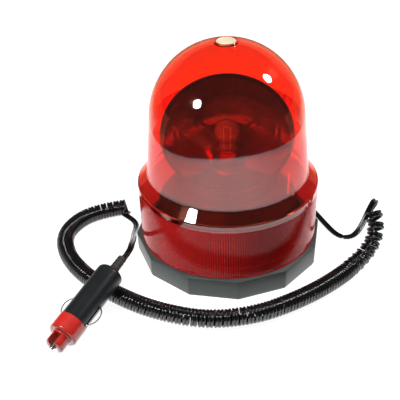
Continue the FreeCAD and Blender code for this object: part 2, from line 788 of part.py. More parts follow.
def drill_turntable(places):
    """Screw holes of the reflector in the turntable's deck."""
    table = next(item for item in PIECES if item.Label == "turntable")
    for place, shank, drill in places:
        hole = table.newObject("PartDesign::SubtractiveCylinder", "reflector_hole")
        hole.Radius = drill
        hole.Height = shank
        hole.Placement = Placement(place - Vector(0, 0, shank), Rotation())
        document.recompute()


def lamp():
    """Bayonet bulb with its glass and filament, and the holder with its insulator and centre contact."""
    floor_top = f"({post_top} + socket_floor)"
    spigot_foot = f"({post_top} - spigot_length)"
    spigot_outer = "(post_bore - run_clearance)"
    spigot_bore = f"({spigot_outer} - spigot_wall)"
    holder = turned("bulb_socket", [
        (spigot_bore, spigot_foot),
        (spigot_outer, spigot_foot),
        (spigot_outer, post_top),
        (socket_radius, post_top),
        (socket_radius, socket_top),
        (socket_bore, socket_top),
        (socket_bore, floor_top),
        (spigot_bore, floor_top),
    ])
    room = f"((pin_radius + pin_play) / cap_radius * {math.degrees(1)})"
    slot_foot = f"{pin_height} - pin_radius - pin_play"
    inner = f"({socket_bore} - socket_overcut)"
    outer = f"({socket_radius} + socket_overcut)"
    run = sector(sketch_on(holder, "XY_Plane", slot_foot), inner, outer, f"(0 - {room})",
                 f"(bulb_twist + {room})")
    level = feature(holder, "Pocket", run, "2 * (pin_radius + pin_play)")
    drop = sector(sketch_on(holder, "XY_Plane", slot_foot), inner, outer, f"(bulb_twist - {room})",
                  f"(bulb_twist + {room})")
    entry = feature(holder, "Pocket", drop, f"{socket_top} - {slot_foot}")
    round_pattern(holder, [level, entry], SOCKET_SLOTS)
    turned("socket_insulator", [
        ("contact_radius + insulator_fit", spigot_foot),
        (f"{spigot_bore} - insulator_fit", spigot_foot),
        (f"{spigot_bore} - insulator_fit", floor_top),
        ("contact_radius + insulator_fit", floor_top),
    ])
    turned("socket_contact", [
        ("0", f"{spigot_foot} - contact_tail"),
        ("contact_radius", f"{spigot_foot} - contact_tail"),
        ("contact_radius", f"{nib_bottom} - contact_head"),
        ("contact_radius + contact_flare", f"{nib_bottom} - contact_head"),
        ("contact_radius + contact_flare", nib_bottom),
        ("0", nib_bottom),
    ])

    cap = turned("bulb_cap", [
        ("0", nib_bottom),
        ("nib_radius", nib_bottom),
        ("nib_radius", cap_bottom),
        ("cap_radius", cap_bottom),
        ("cap_radius", cap_top),
        ("0", cap_top),
    ])
    pins = cap.newObject("PartDesign::AdditiveCylinder", "bayonet_pins")
    pins.setExpression("Radius", "Sizes.pin_radius")
    pins.setExpression("Height", "2 * (Sizes.cap_radius + Sizes.pin_reach)")
    pins.setExpression(".Placement.Base.x", "0 - Sizes.cap_radius - Sizes.pin_reach")
    pins.setExpression(".Placement.Base.z", bound(pin_height))
    pins.Placement.Rotation = Rotation(Vector(0, 0, 1), Vector(1, 0, 0))
    document.recompute()

    throat = "(neck_radius + throat_flare)"
    inner_globe = "(globe_radius - glass_wall)"
    inner_throat = f"({throat} - glass_wall)"
    turned("bulb_glass", [
        ("neck_radius", cap_top),
        (throat, f"{globe_middle} - sqrt(globe_radius ^ 2 - {throat} ^ 2)", "globe_radius", 1),
        ("0", f"{globe_middle} + globe_radius"),
        ("0", f"{globe_middle} + {inner_globe}", inner_globe, -1),
        (inner_throat, f"{globe_middle} - sqrt({inner_globe} ^ 2 - {inner_throat} ^ 2)"),
        ("neck_radius - glass_wall", cap_top),
    ])
    half = size("filament_length / 2")
    rise = size(f"{mirror_middle} - {cap_top}")
    wire = size("filament_wire_radius")
    legs = [Part.makeCylinder(wire, rise, Vector(side * half, 0, size(cap_top))) for side in (-1, 1)]
    reach = half + wire
    coil = Part.makeCylinder(size("filament_radius"), 2 * reach, Vector(-reach, 0, size(mirror_middle)),
                             Vector(1, 0, 0))
    group("bulb_filament", [coil.fuse(legs).removeSplitter()])


def inner_wire():
    """Wire that comes out of the cover's sloping roof, loops over and goes back in."""
    slope = size(f"(cover_height - cover_shoulder_height) / ({cover_shoulder_radius} - {cover_roof_radius})")
    radius = size("wire_place_radius")
    turn = math.radians(size("wire_place_turn"))
    foot = size("cover_height") - slope * (radius - size(cover_roof_radius)) - size("wire_radius")
    top = foot + size("wire_loop_height")
    half = size("wire_loop_radius")
    outward = Vector(math.cos(turn), math.sin(turn), 0)
    side = Vector(-math.sin(turn), math.cos(turn), 0)
    middle = outward * radius
    left = middle - side * half
    right = middle + side * half
    rise = Vector(0, 0, 1)
    edges = [
        Part.makeLine(left + rise * foot, left + rise * top),
        Part.Arc(left + rise * top, middle + rise * (top + half), right + rise * top).toShape(),
        Part.makeLine(right + rise * top, right + rise * foot),
    ]
    group("inner_wire", [tube(edges, 2 * size("wire_radius"))])


def tube(edges, diameter):
    """Round tube along edges that follow each other smoothly."""
    path = Part.Wire(edges)
    start = edges[0].valueAt(edges[0].FirstParameter)
    way = edges[0].tangentAt(edges[0].FirstParameter)
    ring = Part.Wire(Part.makeCircle(diameter / 2, start, way))
    solid = path.makePipeShell([ring], True, False)
    expected = math.pi * diameter**2 / 4 * path.Length
    if abs(solid.Volume / expected - 1) > VOLUME_TOLERANCE:
        raise ValueError("tube volume differs from its section times its length")
    return solid


def route_edges(label, points):
    """Straight runs joined by tangent arcs as large as the runs allow. Prints the radii."""
    edges = []
    radii = []
    reached = points[0]
    for before, corner, after in zip(points, points[1:], points[2:]):
        first = (corner - before).normalize()
        second = (after - corner).normalize()
        half_turn = first.getAngle(second) / 2
        cut = BEND_SHARE * min((corner - before).Length, (after - corner).Length)
        radius = cut / math.tan(half_turn)
        start = corner - first * cut
        end = corner + second * cut
        inward = (second - first).normalize()
        middle = corner + inward * (radius / math.cos(half_turn) - radius)
        edges.append(Part.LineSegment(reached, start).toShape())
        edges.append(Part.Arc(start, middle, end).toShape())
        radii.append(round(radius, 1))
        reached = end
    edges.append(Part.LineSegment(reached, points[-1]).toShape())
    length = sum(edge.Length for edge in edges)
    print(f"{label}: length {length:.1f}, radii {radii}")
    return edges


def plug_placement():
    """Place of the plug: its collar's edge near the floor, its body resting on the curly part of the lead."""
    rise = size("coil_diameter + plug_radius - tip_radius") + PLUG_REST_GAP
    tilt = math.asin(rise / PLUG_REST_DISTANCE)
    heading = math.radians(PLUG_HEADING)
    back = Vector(math.cos(heading) * math.cos(tilt), math.sin(heading) * math.cos(tilt), math.sin(tilt))
    height = size("tip_radius") * math.cos(tilt) + FLOOR_GAP
    front = Vector(PLUG_FRONT_X, PLUG_FRONT_Y, height)
    rear = front + back * size("plug_length + tip_length")
    side = Vector(math.sin(heading), -math.cos(heading), 0)
    return Placement(rear, Rotation(side, Vector(), -back, "ZXY"))


def plug():
    """Lighter plug: body, red tip, sprung pin, fuse, side bows and strain relief. +Z runs to the tip."""
    place = plug_placement()
    made = len(PIECES)
    chamber = "(fuse_radius + plug_fit)"
    thread_foot = "(plug_length - thread_length - plug_fit)"
    seat_depth = "(relief_spigot + plug_fit)"
    body = turned("plug_body", [
        ("relief_spigot_radius + plug_fit", "0"),
        ("plug_radius - plug_round", "0", "plug_round", 1),
        ("plug_radius", "plug_round"),
        ("plug_radius", "plug_length"),
        ("thread_radius + plug_fit", "plug_length"),
        ("thread_radius + plug_fit", thread_foot),
        (chamber, thread_foot),
        (chamber, "fuse_floor"),
        ("wire_hole_radius", "fuse_floor"),
        ("wire_hole_radius", seat_depth),
        ("relief_spigot_radius + plug_fit", seat_depth),
    ])
    bow_rise = "(plug_radius + bow_reach - bow_root)"
    slot_end = f"(sqrt(bow_radius ^ 2 - (bow_radius - {bow_rise}) ^ 2) + 2 * bow_slot_play)"
    slot_floor = "(bow_root - bow_wire_radius - bow_travel - bow_slot_play)"
    slot = outline(sketch_on(body, "XZ_Plane", "0 - bow_slot_width / 2"), [
        (slot_floor, f"bow_place - {slot_end}"),
        ("plug_radius + bow_slot_overcut", f"bow_place - {slot_end}"),
        ("plug_radius + bow_slot_overcut", f"bow_place + {slot_end}"),
        (slot_floor, f"bow_place + {slot_end}"),
    ])
    round_pattern(body, [feature(body, "Pocket", slot, "bow_slot_width")], 2)

    collar_end = "(plug_length + tip_length)"
    nose_end = f"({collar_end} + nose_length)"
    pin_bore = "(contact_pin_radius + run_clearance)"
    seat = "(plug_length - pin_seat)"
    thread_end = "(plug_length - thread_length)"
    tip = turned("plug_tip", [
        (pin_bore, nose_end),
        (pin_bore, seat),
        ("pin_flange_radius + pin_flange_fit", seat),
        ("pin_flange_radius + pin_flange_fit", thread_end),
        ("thread_radius", thread_end),
        ("thread_radius", "plug_length"),
        ("tip_radius", "plug_length"),
        ("tip_radius", f"{collar_end} - tip_round", "tip_round", 1),
        ("tip_radius - tip_round", collar_end),
        ("nose_radius + nose_fillet", collar_end, "nose_fillet", -1),
        ("nose_radius", f"{collar_end} + nose_fillet"),
        ("nose_radius", f"{nose_end} - nose_round", "nose_round", 1),
        ("nose_radius - nose_round", nose_end),
    ])
    gap = outline(sketch_on(tip, "XY_Plane", f"{collar_end} + slot_lift"), [
        ("0 - slot_width / 2", "0 - tip_radius"),
        ("slot_width / 2", "0 - tip_radius"),
        ("slot_width / 2", "tip_radius"),
        ("0 - slot_width / 2", "tip_radius"),
    ])
    feature(tip, "Pocket", gap, "nose_length")

    flange_end = f"({seat} - pin_flange_gap)"
    flange_foot = f"({flange_end} - pin_flange)"
    pin_end = f"({nose_end} + contact_pin_reach)"
    turned("plug_pin", [
        ("0", flange_foot),
        ("pin_flange_radius", flange_foot),
        ("pin_flange_radius", flange_end),
        ("contact_pin_radius", flange_end),
        ("contact_pin_radius", f"{pin_end} - contact_pin_round", "contact_pin_round", 1),
        ("contact_pin_radius - contact_pin_round", pin_end),
        ("0", pin_end),
    ])
    fuse_end = "(fuse_floor + fuse_length)"
    turned("plug_fuse", [
        ("0", "fuse_floor"),
        ("fuse_radius", "fuse_floor"),
        ("fuse_radius", "fuse_floor + fuse_cap"),
        ("fuse_radius - fuse_waist", "fuse_floor + fuse_cap"),
        ("fuse_radius - fuse_waist", f"{fuse_end} - fuse_cap"),
        ("fuse_radius", f"{fuse_end} - fuse_cap"),
        ("fuse_radius", fuse_end),
        ("0", fuse_end),
    ])
    wire = size("pin_spring_wire")
    start = size(fuse_end) + wire
    height = size(flange_foot) - wire - start
    ring_radius = size("pin_flange_radius - pin_flange_fit") - wire
    helix = Part.makeHelix(height / SPRING_TURNS, height, ring_radius)
    ring = Part.Wire(Part.makeCircle(wire, Vector(ring_radius, 0, 0), Vector(0, 1, 0)))
    spring = Part.Wire(helix).makePipeShell([ring], True, True)
    spring.translate(Vector(0, 0, start))
    group("pin_spring", [spring])

    crest = size("plug_radius + bow_reach")
    root = size("bow_root")
    arm = size("bow_radius")
    middle = size("bow_place")
    half = math.sqrt(arm**2 - (arm - (crest - root)) ** 2)
    for name, side in (("side_contact_left", -1), ("side_contact_right", 1)):
        bow = Part.Arc(Vector(side * root, 0, middle - half), Vector(side * crest, 0, middle),
                       Vector(side * root, 0, middle + half))
        group(name, [tube([bow.toShape()], 2 * size("bow_wire_radius"))])

    pitch = "relief_length / " + str(RELIEF_RINGS + 1)
    relief_end = "0 - relief_length"
    profile = [("0", "relief_spigot"), ("0", relief_end), ("relief_radius - relief_taper", relief_end)]
    for number in range(RELIEF_RINGS, 0, -1):
        outer = f"(relief_radius - relief_taper * {number} / {RELIEF_RINGS + 1})"
        low = f"(0 - {pitch} * {number} - relief_ring_width / 2)"
        high = f"(0 - {pitch} * {number} + relief_ring_width / 2)"
        sunk = f"{outer} - relief_ring_depth"
        profile += [(outer, low), (sunk, low), (sunk, high), (outer, high)]
    spigot = "relief_spigot_radius"
    profile += [("relief_radius", "0"), (spigot, "0"), (spigot, "relief_spigot")]
    turned("plug_strain_relief", profile)
    for thing in PIECES[made:]:
        thing.Placement = place.multiply(thing.Placement)
    return place


def lead(place):
    """Grommet in the base, then the lead: a free run, the curly part and the free end at the plug."""
    face = f"({base_flat} + grommet_gap)"
    nose = f"({face} + grommet_lip + grommet_nose)"
    grommet = turned("cable_grommet", [
        ("0", "pocket_radius - grommet_inner_start"),
        ("grommet_radius + grommet_inner_lip", "pocket_radius - grommet_inner_start"),
        ("grommet_radius + grommet_inner_lip", "pocket_radius - grommet_inner_end"),
        ("grommet_radius", "pocket_radius - grommet_inner_end"),
        ("grommet_radius", face),
        ("grommet_radius + grommet_lip", face),
        ("grommet_radius + grommet_lip", f"{face} + grommet_lip"),
        ("grommet_radius - grommet_step", f"{face} + grommet_lip"),
        ("lead_diameter / 2 + grommet_sleeve", nose),
        ("0", nose),
    ])
    rotation = outward_rotation()
    grommet.Placement = Placement(Vector(0, 0, size("lead_height")), rotation)
    outward = rotation.multVec(Vector(0, 0, 1))
    start = outward * size(nose) + Vector(0, 0, size("lead_height"))
    first_run = size("straight_run")
    points = [start, start + outward * first_run] + [Vector(*point) for point in LEAD_ROUTE]
    group("cord_lead", [tube(route_edges("cord_lead", points), size("lead_diameter"))])

    level = size("coil_diameter / 2")
    points = [Vector(across, along, level) for across, along in COIL_ROUTE]
    group("cord_coil", [tube(route_edges("cord_coil", points), size("coil_diameter"))])

    start = place.multVec(Vector(0, 0, -size("relief_length")))
    back = place.Rotation.multVec(Vector(0, 0, -1))
    points = [start, start + back * first_run] + [Vector(*point) for point in TAIL_ROUTE]
    group("cord_tail", [tube(route_edges("cord_tail", points), size("lead_diameter"))])


def check_and_write():
    """Stops on any failed object or bad shape, then writes one file for each sub-part."""
    document.recompute()
    for item in document.Objects:
        if "Invalid" in item.State or "Error" in item.State:
            raise ValueError(f"{item.Name} failed: {item.State}")
    for thing in PIECES:
        if thing.Shape.isNull() or not thing.Shape.isValid() or not thing.Shape.Solids:
            raise ValueError(f"{thing.Label} has no valid shape")
    os.makedirs("parts", exist_ok=True)
    for thing in PIECES:
        thing.Shape.exportStep(f"parts/{thing.Label}.step")
        box = thing.Shape.BoundBox
        print(f"{thing.Label}: {len(thing.Shape.Solids)} solid, {thing.Shape.Volume:.1f} mm3, "
              f"z {box.ZMin:.2f} to {box.ZMax:.2f}")


base()
dome()
frame()
drive()
drill_turntable(reflector())
lamp()
inner_wire()
lead(plug())
check_and_write()
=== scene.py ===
"""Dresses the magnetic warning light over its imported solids.

Every piece is in metres in the frame of the solids: the origin is the middle of the base's underside, +Z is
up and the reflector looks along -Y at rest. Sizes in the classes are in millimetres and degrees, apart from
the lead's length and routes and the studio's cards and lamps, which are in metres.
"""

import json
import logging
import math
from dataclasses import dataclass, field, replace
from enum import Enum
from typing import Iterable, Sequence

import bmesh
import bpy
from mathutils import Matrix, Vector

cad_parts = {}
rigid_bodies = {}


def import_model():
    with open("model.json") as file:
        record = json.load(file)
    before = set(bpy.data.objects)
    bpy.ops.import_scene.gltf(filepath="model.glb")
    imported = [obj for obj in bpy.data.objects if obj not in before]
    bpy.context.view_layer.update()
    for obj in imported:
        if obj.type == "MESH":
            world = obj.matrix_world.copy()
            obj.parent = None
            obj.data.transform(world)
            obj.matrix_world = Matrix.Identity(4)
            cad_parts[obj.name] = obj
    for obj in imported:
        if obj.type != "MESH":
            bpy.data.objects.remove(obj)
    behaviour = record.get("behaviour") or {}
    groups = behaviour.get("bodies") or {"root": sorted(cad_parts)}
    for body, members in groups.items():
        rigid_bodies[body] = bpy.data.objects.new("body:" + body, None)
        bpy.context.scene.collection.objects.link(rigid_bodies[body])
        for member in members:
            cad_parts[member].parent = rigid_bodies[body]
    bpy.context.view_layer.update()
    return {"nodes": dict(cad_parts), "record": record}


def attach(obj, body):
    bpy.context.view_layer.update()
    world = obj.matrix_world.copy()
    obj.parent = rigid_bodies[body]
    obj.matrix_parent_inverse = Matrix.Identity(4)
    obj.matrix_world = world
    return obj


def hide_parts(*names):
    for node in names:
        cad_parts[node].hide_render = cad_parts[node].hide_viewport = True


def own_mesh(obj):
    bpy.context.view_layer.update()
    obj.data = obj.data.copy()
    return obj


MM = 0.001
FULL_TURN = 2 * math.pi
UP = Vector((0, 0, 1))
MERGE_DISTANCE = 1e-6
LOG = logging.getLogger("warning_light")
Point = tuple[float, float]
Spot = tuple[float, float, float]
Colour = tuple[float, float, float]


class Body(str, Enum):
    """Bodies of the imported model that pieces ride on."""

    LIGHT = "light"
    COVER = "cover"
    ROTOR = "rotor"
    BULB = "bulb"


class Grain(Enum):
    """How a finish's fine surface pattern runs: even, or drawn out along one axis."""

    EVEN = (1.0, 1.0, 1.0)
    UPRIGHT = (1.0, 1.0, 0.05)
    LEVEL = (0.05, 1.0, 1.0)


RAYS = ("camera", "diffuse", "glossy", "transmission", "shadow")


class Shown(Enum):
    """Which rays meet a plane of the studio: straight ones, mirrored ones, or those through the dome."""

    STRAIGHT = ("camera", "shadow")
    MIRRORED = ("glossy",)
    THROUGH = ("transmission",)


def feed(tree: bpy.types.NodeTree, node: bpy.types.Node, values: dict) -> None:
    """Sets and links inputs of a shader node.

    Args:
        tree: Node tree that it is in.
        node: The node.
        values: Value of each input or the output that feeds it, by the input's name or number.
    """
    for name, value in values.items():
        if isinstance(value, bpy.types.NodeSocket):
            tree.links.new(value, node.inputs[name])
        else:
            node.inputs[name].default_value = value


def new_node(tree: bpy.types.NodeTree, kind: str, values: dict, operation: str = "") -> bpy.types.Node:
    """Adds a shader node.

    Args:
        tree: Node tree that gets it.
        kind: Its type, without the first word that all of them have.
        values: Its inputs, as in feed.
        operation: What a maths node works out.

    Returns:
        The node.
    """
    made = tree.nodes.new(f"ShaderNode{kind}")
    if operation:
        made.operation = operation
    feed(tree, made, values)
    return made


@dataclass(frozen=True)
class Finish:
    """Surface of a piece: colour with a slight mottle or painted shade in flute valleys, gloss that varies,
    and a fine bump.
    """

    name: str
    colour: Colour
    roughness: float
    mottle: float = 0.12
    mottle_scale: float = 90.0
    gloss_spread: float = 0.06
    grain: Grain = Grain.EVEN
    grain_scale: float = 1400.0
    grain_depth: float = 0.05
    metallic: float = 0.0
    transmission: float = 0.0
    refraction: float = 1.49
    specular: float = 0.5
    flutes: int = 0
    flute_shade: float = 0.35
    cloud_detail: float = 4.0
    mottle_span: Point = (0.3, 0.7)

    def material(self) -> bpy.types.Material:
        """Builds the material once and hands out the same one afterwards.

        Returns:
            The material of this finish.
        """
        title = f"{self.name}_finish"
        made = bpy.data.materials.get(title)
        if made:
            return made
        made = bpy.data.materials.new(title)
        made.use_nodes = True
        tree = made.node_tree
        shader = tree.nodes["Principled BSDF"]
        feed(tree, shader, {"Base Color": (*self.colour, 1.0), "Roughness": self.roughness,
                            "Metallic": self.metallic, "Transmission Weight": self.transmission,
                            "IOR": self.refraction, "Specular IOR Level": self.specular})
        place = new_node(tree, "TexCoord", {}).outputs["Object"]
        cloud = new_node(tree, "TexNoise", {"Vector": place, "Scale": self.mottle_scale,
                                            "Detail": self.cloud_detail}).outputs["Fac"]
        if self.mottle:
            tint = new_node(tree, "ValToRGB", {"Fac": cloud})
            shares = (1 - self.mottle, 1 + self.mottle)
            for element, spot, share in zip(tint.color_ramp.elements, self.mottle_span, shares):
                element.position = spot
                element.color = (*(min(part * share, 1.0) for part in self.colour), 1.0)
            feed(tree, shader, {"Base Color": tint.outputs["Color"]})
        # Painted shade in the valleys of the flutes
        if self.flutes:
            self.paint_flute_shade(tree, place, shader)
        if self.gloss_spread:
            gloss = new_node(tree, "MapRange", {"Value": cloud,
                                                "To Min": max(self.roughness - self.gloss_spread, 0.0),
                                                "To Max": self.roughness + self.gloss_spread})
            feed(tree, shader, {"Roughness": gloss.outputs["Result"]})
        if self.grain_depth:
            turn = new_node(tree, "Mapping", {"Vector": place, "Scale": self.grain.value})
            fine = new_node(tree, "TexNoise", {"Vector": turn.outputs["Vector"], "Scale": self.grain_scale})
            bump = new_node(tree, "Bump", {"Strength": self.grain_depth, "Distance": MM,
                                           "Height": fine.outputs["Fac"]})
            feed(tree, shader, {"Normal": bump.outputs["Normal"]})
        return made

    def paint_flute_shade(self, tree: bpy.types.NodeTree, place: bpy.types.NodeSocket, shader: bpy.types.Node) -> None:
        """Paints shade into the valleys of upright flutes round the Z axis, darkening the colour there.

        Args:
            tree: Node tree of the material.
            place: Output with the place on the object.
            shader: Principled shader that gets the colour.
        """
        parts = new_node(tree, "SeparateXYZ", {"Vector": place}).outputs
        turn = new_node(tree, "Math", {0: parts["Y"], 1: parts["X"]}, "ARCTAN2")
        times = new_node(tree, "Math", {0: turn.outputs["Value"], 1: self.flutes}, "MULTIPLY")
        wave = new_node(tree, "Math", {0: times.outputs["Value"]}, "COSINE")
        shade = new_node(tree, "MapRange", {"Value": wave.outputs["Value"], "From Min": -1.0,
                                            "From Max": 1.0})
        tint = new_node(tree, "ValToRGB", {"Fac": shade.outputs["Result"]})
        for element, share in zip(tint.color_ramp.elements, (1.0, self.flute_shade)):
            element.color = (*(part * share for part in self.colour), 1.0)
        feed(tree, shader, {"Base Color": tint.outputs["Color"]})


FLUTES = 240
RED_CLEAR = Finish("red_clear", (0.95, 0.145, 0.06), 0.03, mottle=0.0, gloss_spread=0.015, grain_scale=60.0,
                   grain_depth=0.01, transmission=1.0)
# The skirt's flutes get painted shade: their valleys are darkened in its colour
RED_SKIRT = Finish("red_skirt", (0.86, 0.045, 0.04), 0.1, mottle=0.0, gloss_spread=0.03, grain_scale=200.0,
                   grain_depth=0.03, transmission=0.68, refraction=1.18, specular=0.15, flutes=FLUTES)
GREY_PLASTIC = Finish("grey_plastic", (0.037, 0.045, 0.044), 0.45, mottle=0.08, grain_depth=0.12,
                      grain_scale=2200.0, specular=0.3)
BLACK_PLASTIC = Finish("black_plastic", (0.013, 0.013, 0.014), 0.38, grain_depth=0.08, grain_scale=1800.0)
BLACK_SATIN = Finish("black_satin", (0.006, 0.008, 0.009), 0.34, grain_depth=0.1, grain_scale=2400.0,
                     specular=0.25)
BLACK_MATTE = Finish("black_matte", (0.011, 0.011, 0.012), 0.55, mottle=0.1, specular=0.08)
BLACK_RUBBER = Finish("black_rubber", (0.014, 0.014, 0.014), 0.62, mottle=0.2, grain_depth=0.2)
BLACK_LEAD = Finish("black_lead", (0.003, 0.003, 0.003), 0.13, gloss_spread=0.03, grain_depth=0.02,
                    grain_scale=900.0)
MIRROR = Finish("mirror_coat", (0.42, 0.42, 0.42), 0.05, mottle=0.02, gloss_spread=0.02, grain_scale=160.0,
                grain_depth=0.02, metallic=0.88)
BRIGHT_METAL = Finish("bright_metal", (0.78, 0.77, 0.74), 0.2, mottle=0.06, grain=Grain.UPRIGHT,
                      metallic=1.0)
STEEL = Finish("steel", (0.5, 0.5, 0.5), 0.32, mottle=0.08, grain=Grain.LEVEL, grain_depth=0.1,
               metallic=1.0)
BRASS = Finish("brass", (0.68, 0.5, 0.24), 0.3, mottle=0.08, grain_depth=0.1, metallic=1.0)
BARE_DISC = Finish("bare_disc", (0.8, 0.7, 0.48), 0.5, mottle=0.1, grain=Grain.LEVEL, grain_depth=0.12,
                   metallic=0.4)
FERRITE = Finish("ferrite", (0.05, 0.05, 0.05), 0.6, mottle=0.25, grain_depth=0.3)
WHITE_PLASTIC = Finish("white_plastic", (0.78, 0.78, 0.74), 0.4, mottle=0.04, grain_depth=0.04)
CLEAR_GLASS = Finish("clear_glass", (0.97, 0.98, 0.98), 0.01, mottle=0.0, gloss_spread=0.005,
                     grain_depth=0.0, transmission=1.0, refraction=1.5)
BULB_GLASS = replace(CLEAR_GLASS, name="bulb_glass_clear", roughness=0.02, transmission=0.9, specular=0.9)
RED_PLASTIC = Finish("red_plastic", (0.36, 0.013, 0.008), 0.24, mottle=0.1, grain_depth=0.05)
RED_WIRE = Finish("red_wire", (0.9, 0.04, 0.03), 0.3, mottle=0.1, grain_depth=0.05)
SPRING_STEEL = Finish("spring_steel", (0.2, 0.2, 0.2), 0.35, mottle=0.1, metallic=1.0)
PALE_CARD = Finish("pale_card", (0.25, 0.25, 0.25), 0.7, mottle=0.02, grain_depth=0.0)

# Nodes whose solids are shown as they are, with the finish of each
CARRIED_OVER: dict[Finish, tuple[str, ...]] = {
    BLACK_RUBBER: ("base_pad", "dome_seal", "cable_grommet"),
    FERRITE: ("magnet_ring",),
    STEEL: ("magnet_plate", "chassis_plate", "plate_screws", "cover_screws", "motor_can", "motor_shaft",
            "reflector_screws", "bulb_filament"),
    BLACK_MATTE: ("chassis_cover",),
    BLACK_PLASTIC: ("turntable",),
    WHITE_PLASTIC: ("drive_gear", "motor_pinion", "thrust_washer", "socket_insulator"),
    BRIGHT_METAL: ("lamp_post", "bulb_socket", "bulb_cap"),
    BRASS: ("socket_contact",),
    RED_WIRE: ("inner_wire",),
}
# Nodes that stand under the dome and show through it
UNDER_DOME = ("chassis_cover", "turntable", "lamp_post", "bulb_socket", "bulb_cap", "bulb_filament",
              "inner_wire", "reflector_screws", "socket_contact", "socket_insulator", "cover_screws")


def arc(middle: Point, radius: float, start: float, end: float, steps: int) -> list[Point]:
    """Points along a round stretch of an outline.

    Args:
        middle: Middle of the arc.
        radius: Its radius.
        start: Angle of the first point in degrees.
        end: Angle of the last point in degrees.
        steps: Number of equal steps.

    Returns:
        The points from start to end.
    """
    turns = (math.radians(start + (end - start) * step / steps) for step in range(steps + 1))
    return [(middle[0] + radius * math.cos(turn), middle[1] + radius * math.sin(turn)) for turn in turns]


def between(start: Point, end: Point, shares: Iterable[float]) -> list[Point]:
    """Points at shares of the way along a straight stretch of an outline."""
    spans = tuple(zip(start, end))
    return [tuple(low + (high - low) * share for low, high in spans) for share in shares]


def turned(outline: Sequence[Point], steps: int, closed: bool = False) -> bmesh.types.BMesh:
    """Spins an outline about the Z axis.

    Args:
        outline: Pairs of radius and height, in millimetres.
        steps: Number of steps round.
        closed: Whether the outline comes back to its first point.

    Returns:
        The spun mesh, with its faces pointing outwards.
    """
    mesh = bmesh.new()
    corners = [mesh.verts.new((radius * MM, 0.0, height * MM)) for radius, height in outline]
    pairs = list(zip(corners, corners[1:]))
    if closed:
        pairs.append((corners[-1], corners[0]))
    edges = [mesh.edges.new(pair) for pair in pairs if pair[0].co.x > 0 or pair[1].co.x > 0]
    bmesh.ops.spin(mesh, geom=corners + edges, cent=(0, 0, 0), axis=(0, 0, 1), angle=FULL_TURN, steps=steps,
                   use_merge=True)
    bmesh.ops.remove_doubles(mesh, verts=mesh.verts, dist=MERGE_DISTANCE)
    bmesh.ops.recalc_face_normals(mesh, faces=mesh.faces)
    return mesh


def add(mesh: bmesh.types.BMesh, other: bmesh.types.BMesh, index: int = 0) -> None:
    """Adds a mesh to another one.

    Args:
        mesh: Mesh that grows.
        other: Mesh that is added and then freed.
        index: Material index of the added faces.
    """
    for face in other.faces:
        face.material_index = index
    held = bpy.data.meshes.new("held")
    other.to_mesh(held)
    other.free()
    mesh.from_mesh(held)
    bpy.data.meshes.remove(held)


def linked(name: str, data: bpy.types.ID) -> bpy.types.Object:
    """Makes an object and puts it in the scene.

    Args:
        name: Its name.
        data: Its mesh, curve, camera or light.

    Returns:
        The object.
    """
    thing = bpy.data.objects.new(name, data)
    bpy.context.scene.collection.objects.link(thing)
    return thing


def carved(mesh: bmesh.types.BMesh, drill: bmesh.types.BMesh) -> bmesh.types.BMesh:
    """Takes one closed mesh away from another.

    Args:
        mesh: Mesh that is cut.
        drill: Mesh of what is taken away.

    Returns:
        What is left. Both meshes are freed.
    """
    things = []
    for shape in (mesh, drill):
        data = bpy.data.meshes.new("carved")
        shape.to_mesh(data)
        shape.free()
        things.append(linked("carved", data))
    trim = things[0].modifiers.new("trim", "BOOLEAN")
    trim.operation = "DIFFERENCE"
    trim.solver = "EXACT"
    trim.object = things[1]
    left = bmesh.new()
    left.from_object(things[0], bpy.context.evaluated_depsgraph_get())
    for thing in things:
        data = thing.data
        bpy.data.objects.remove(thing)
        bpy.data.meshes.remove(data)
    return left


def piece(name: str, mesh: bmesh.types.BMesh, finishes: Iterable[Finish], body: Body,
          nodes: Sequence[str], sharp: float = 35.0) -> bpy.types.Object:
    """Makes an object of a mesh, dresses it, and hangs it on a body in place of its nodes.

    Args:
        name: Name of the piece.
        mesh: Its mesh, placed in the frame.
        finishes: Finishes in the order of its material indices.
        body: Body that it rides on.
        nodes: Nodes of the model that it stands for.
        sharp: Edges that turn by more than this many degrees stay sharp.

    Returns:
        The finished object.
    """
    data = bpy.data.meshes.new(name)
    mesh.to_mesh(data)
    mesh.free()
    for finish in finishes:
        data.materials.append(finish.material())
    data.shade_smooth()
    data.set_sharp_from_angle(angle=math.radians(sharp))
    thing = linked(name, data)
    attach(thing, body.value)
    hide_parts(*nodes)
    marked = sum(1 for face in data.polygons if face.material_index)
    LOG.info("%s: %d faces on %s, %d with the second finish", name, len(data.polygons), body.value, marked)
    return thing


def curve_mesh(curve: bpy.types.Curve, kind: str, points: Sequence[Vector],
               order: int = 2) -> bpy.types.Mesh:
    """Mesh of a curve along points.

    Args:
        curve: Curve with its settings but no spline. It is freed.
        kind: Kind of the spline that goes along the points.
        points: Points of the spline, which it reaches at both ends.
        order: Order of a smooth spline.

    Returns:
        The mesh.
    """
    curve.dimensions = "3D"
    spline = curve.splines.new(kind)
    spline.points.add(len(points) - 1)
    for place, corner in zip(spline.points, points):
        place.co = (*corner, 1.0)
    spline.order_u = order
    spline.use_endpoint_u = True
    thing = linked(curve.name, curve)
    mesh = bpy.data.meshes.new_from_object(thing)
    bpy.data.objects.remove(thing)
    bpy.data.curves.remove(curve)
    return mesh


def spline_points(route: Sequence[Vector], resolution: int) -> list[Vector]:
    """Points along the smooth line that a route's points control.

    Args:
        route: Control points.
        resolution: Steps between control points.

    Returns:
        The points that Blender's own NURBS spline goes through.
    """
    curve = bpy.data.curves.new("route", "CURVE")
    curve.resolution_u = resolution
    line = curve_mesh(curve, "NURBS", route, order=3)
    points = [vertex.co.copy() for vertex in line.vertices]
    bpy.data.meshes.remove(line)
    return points


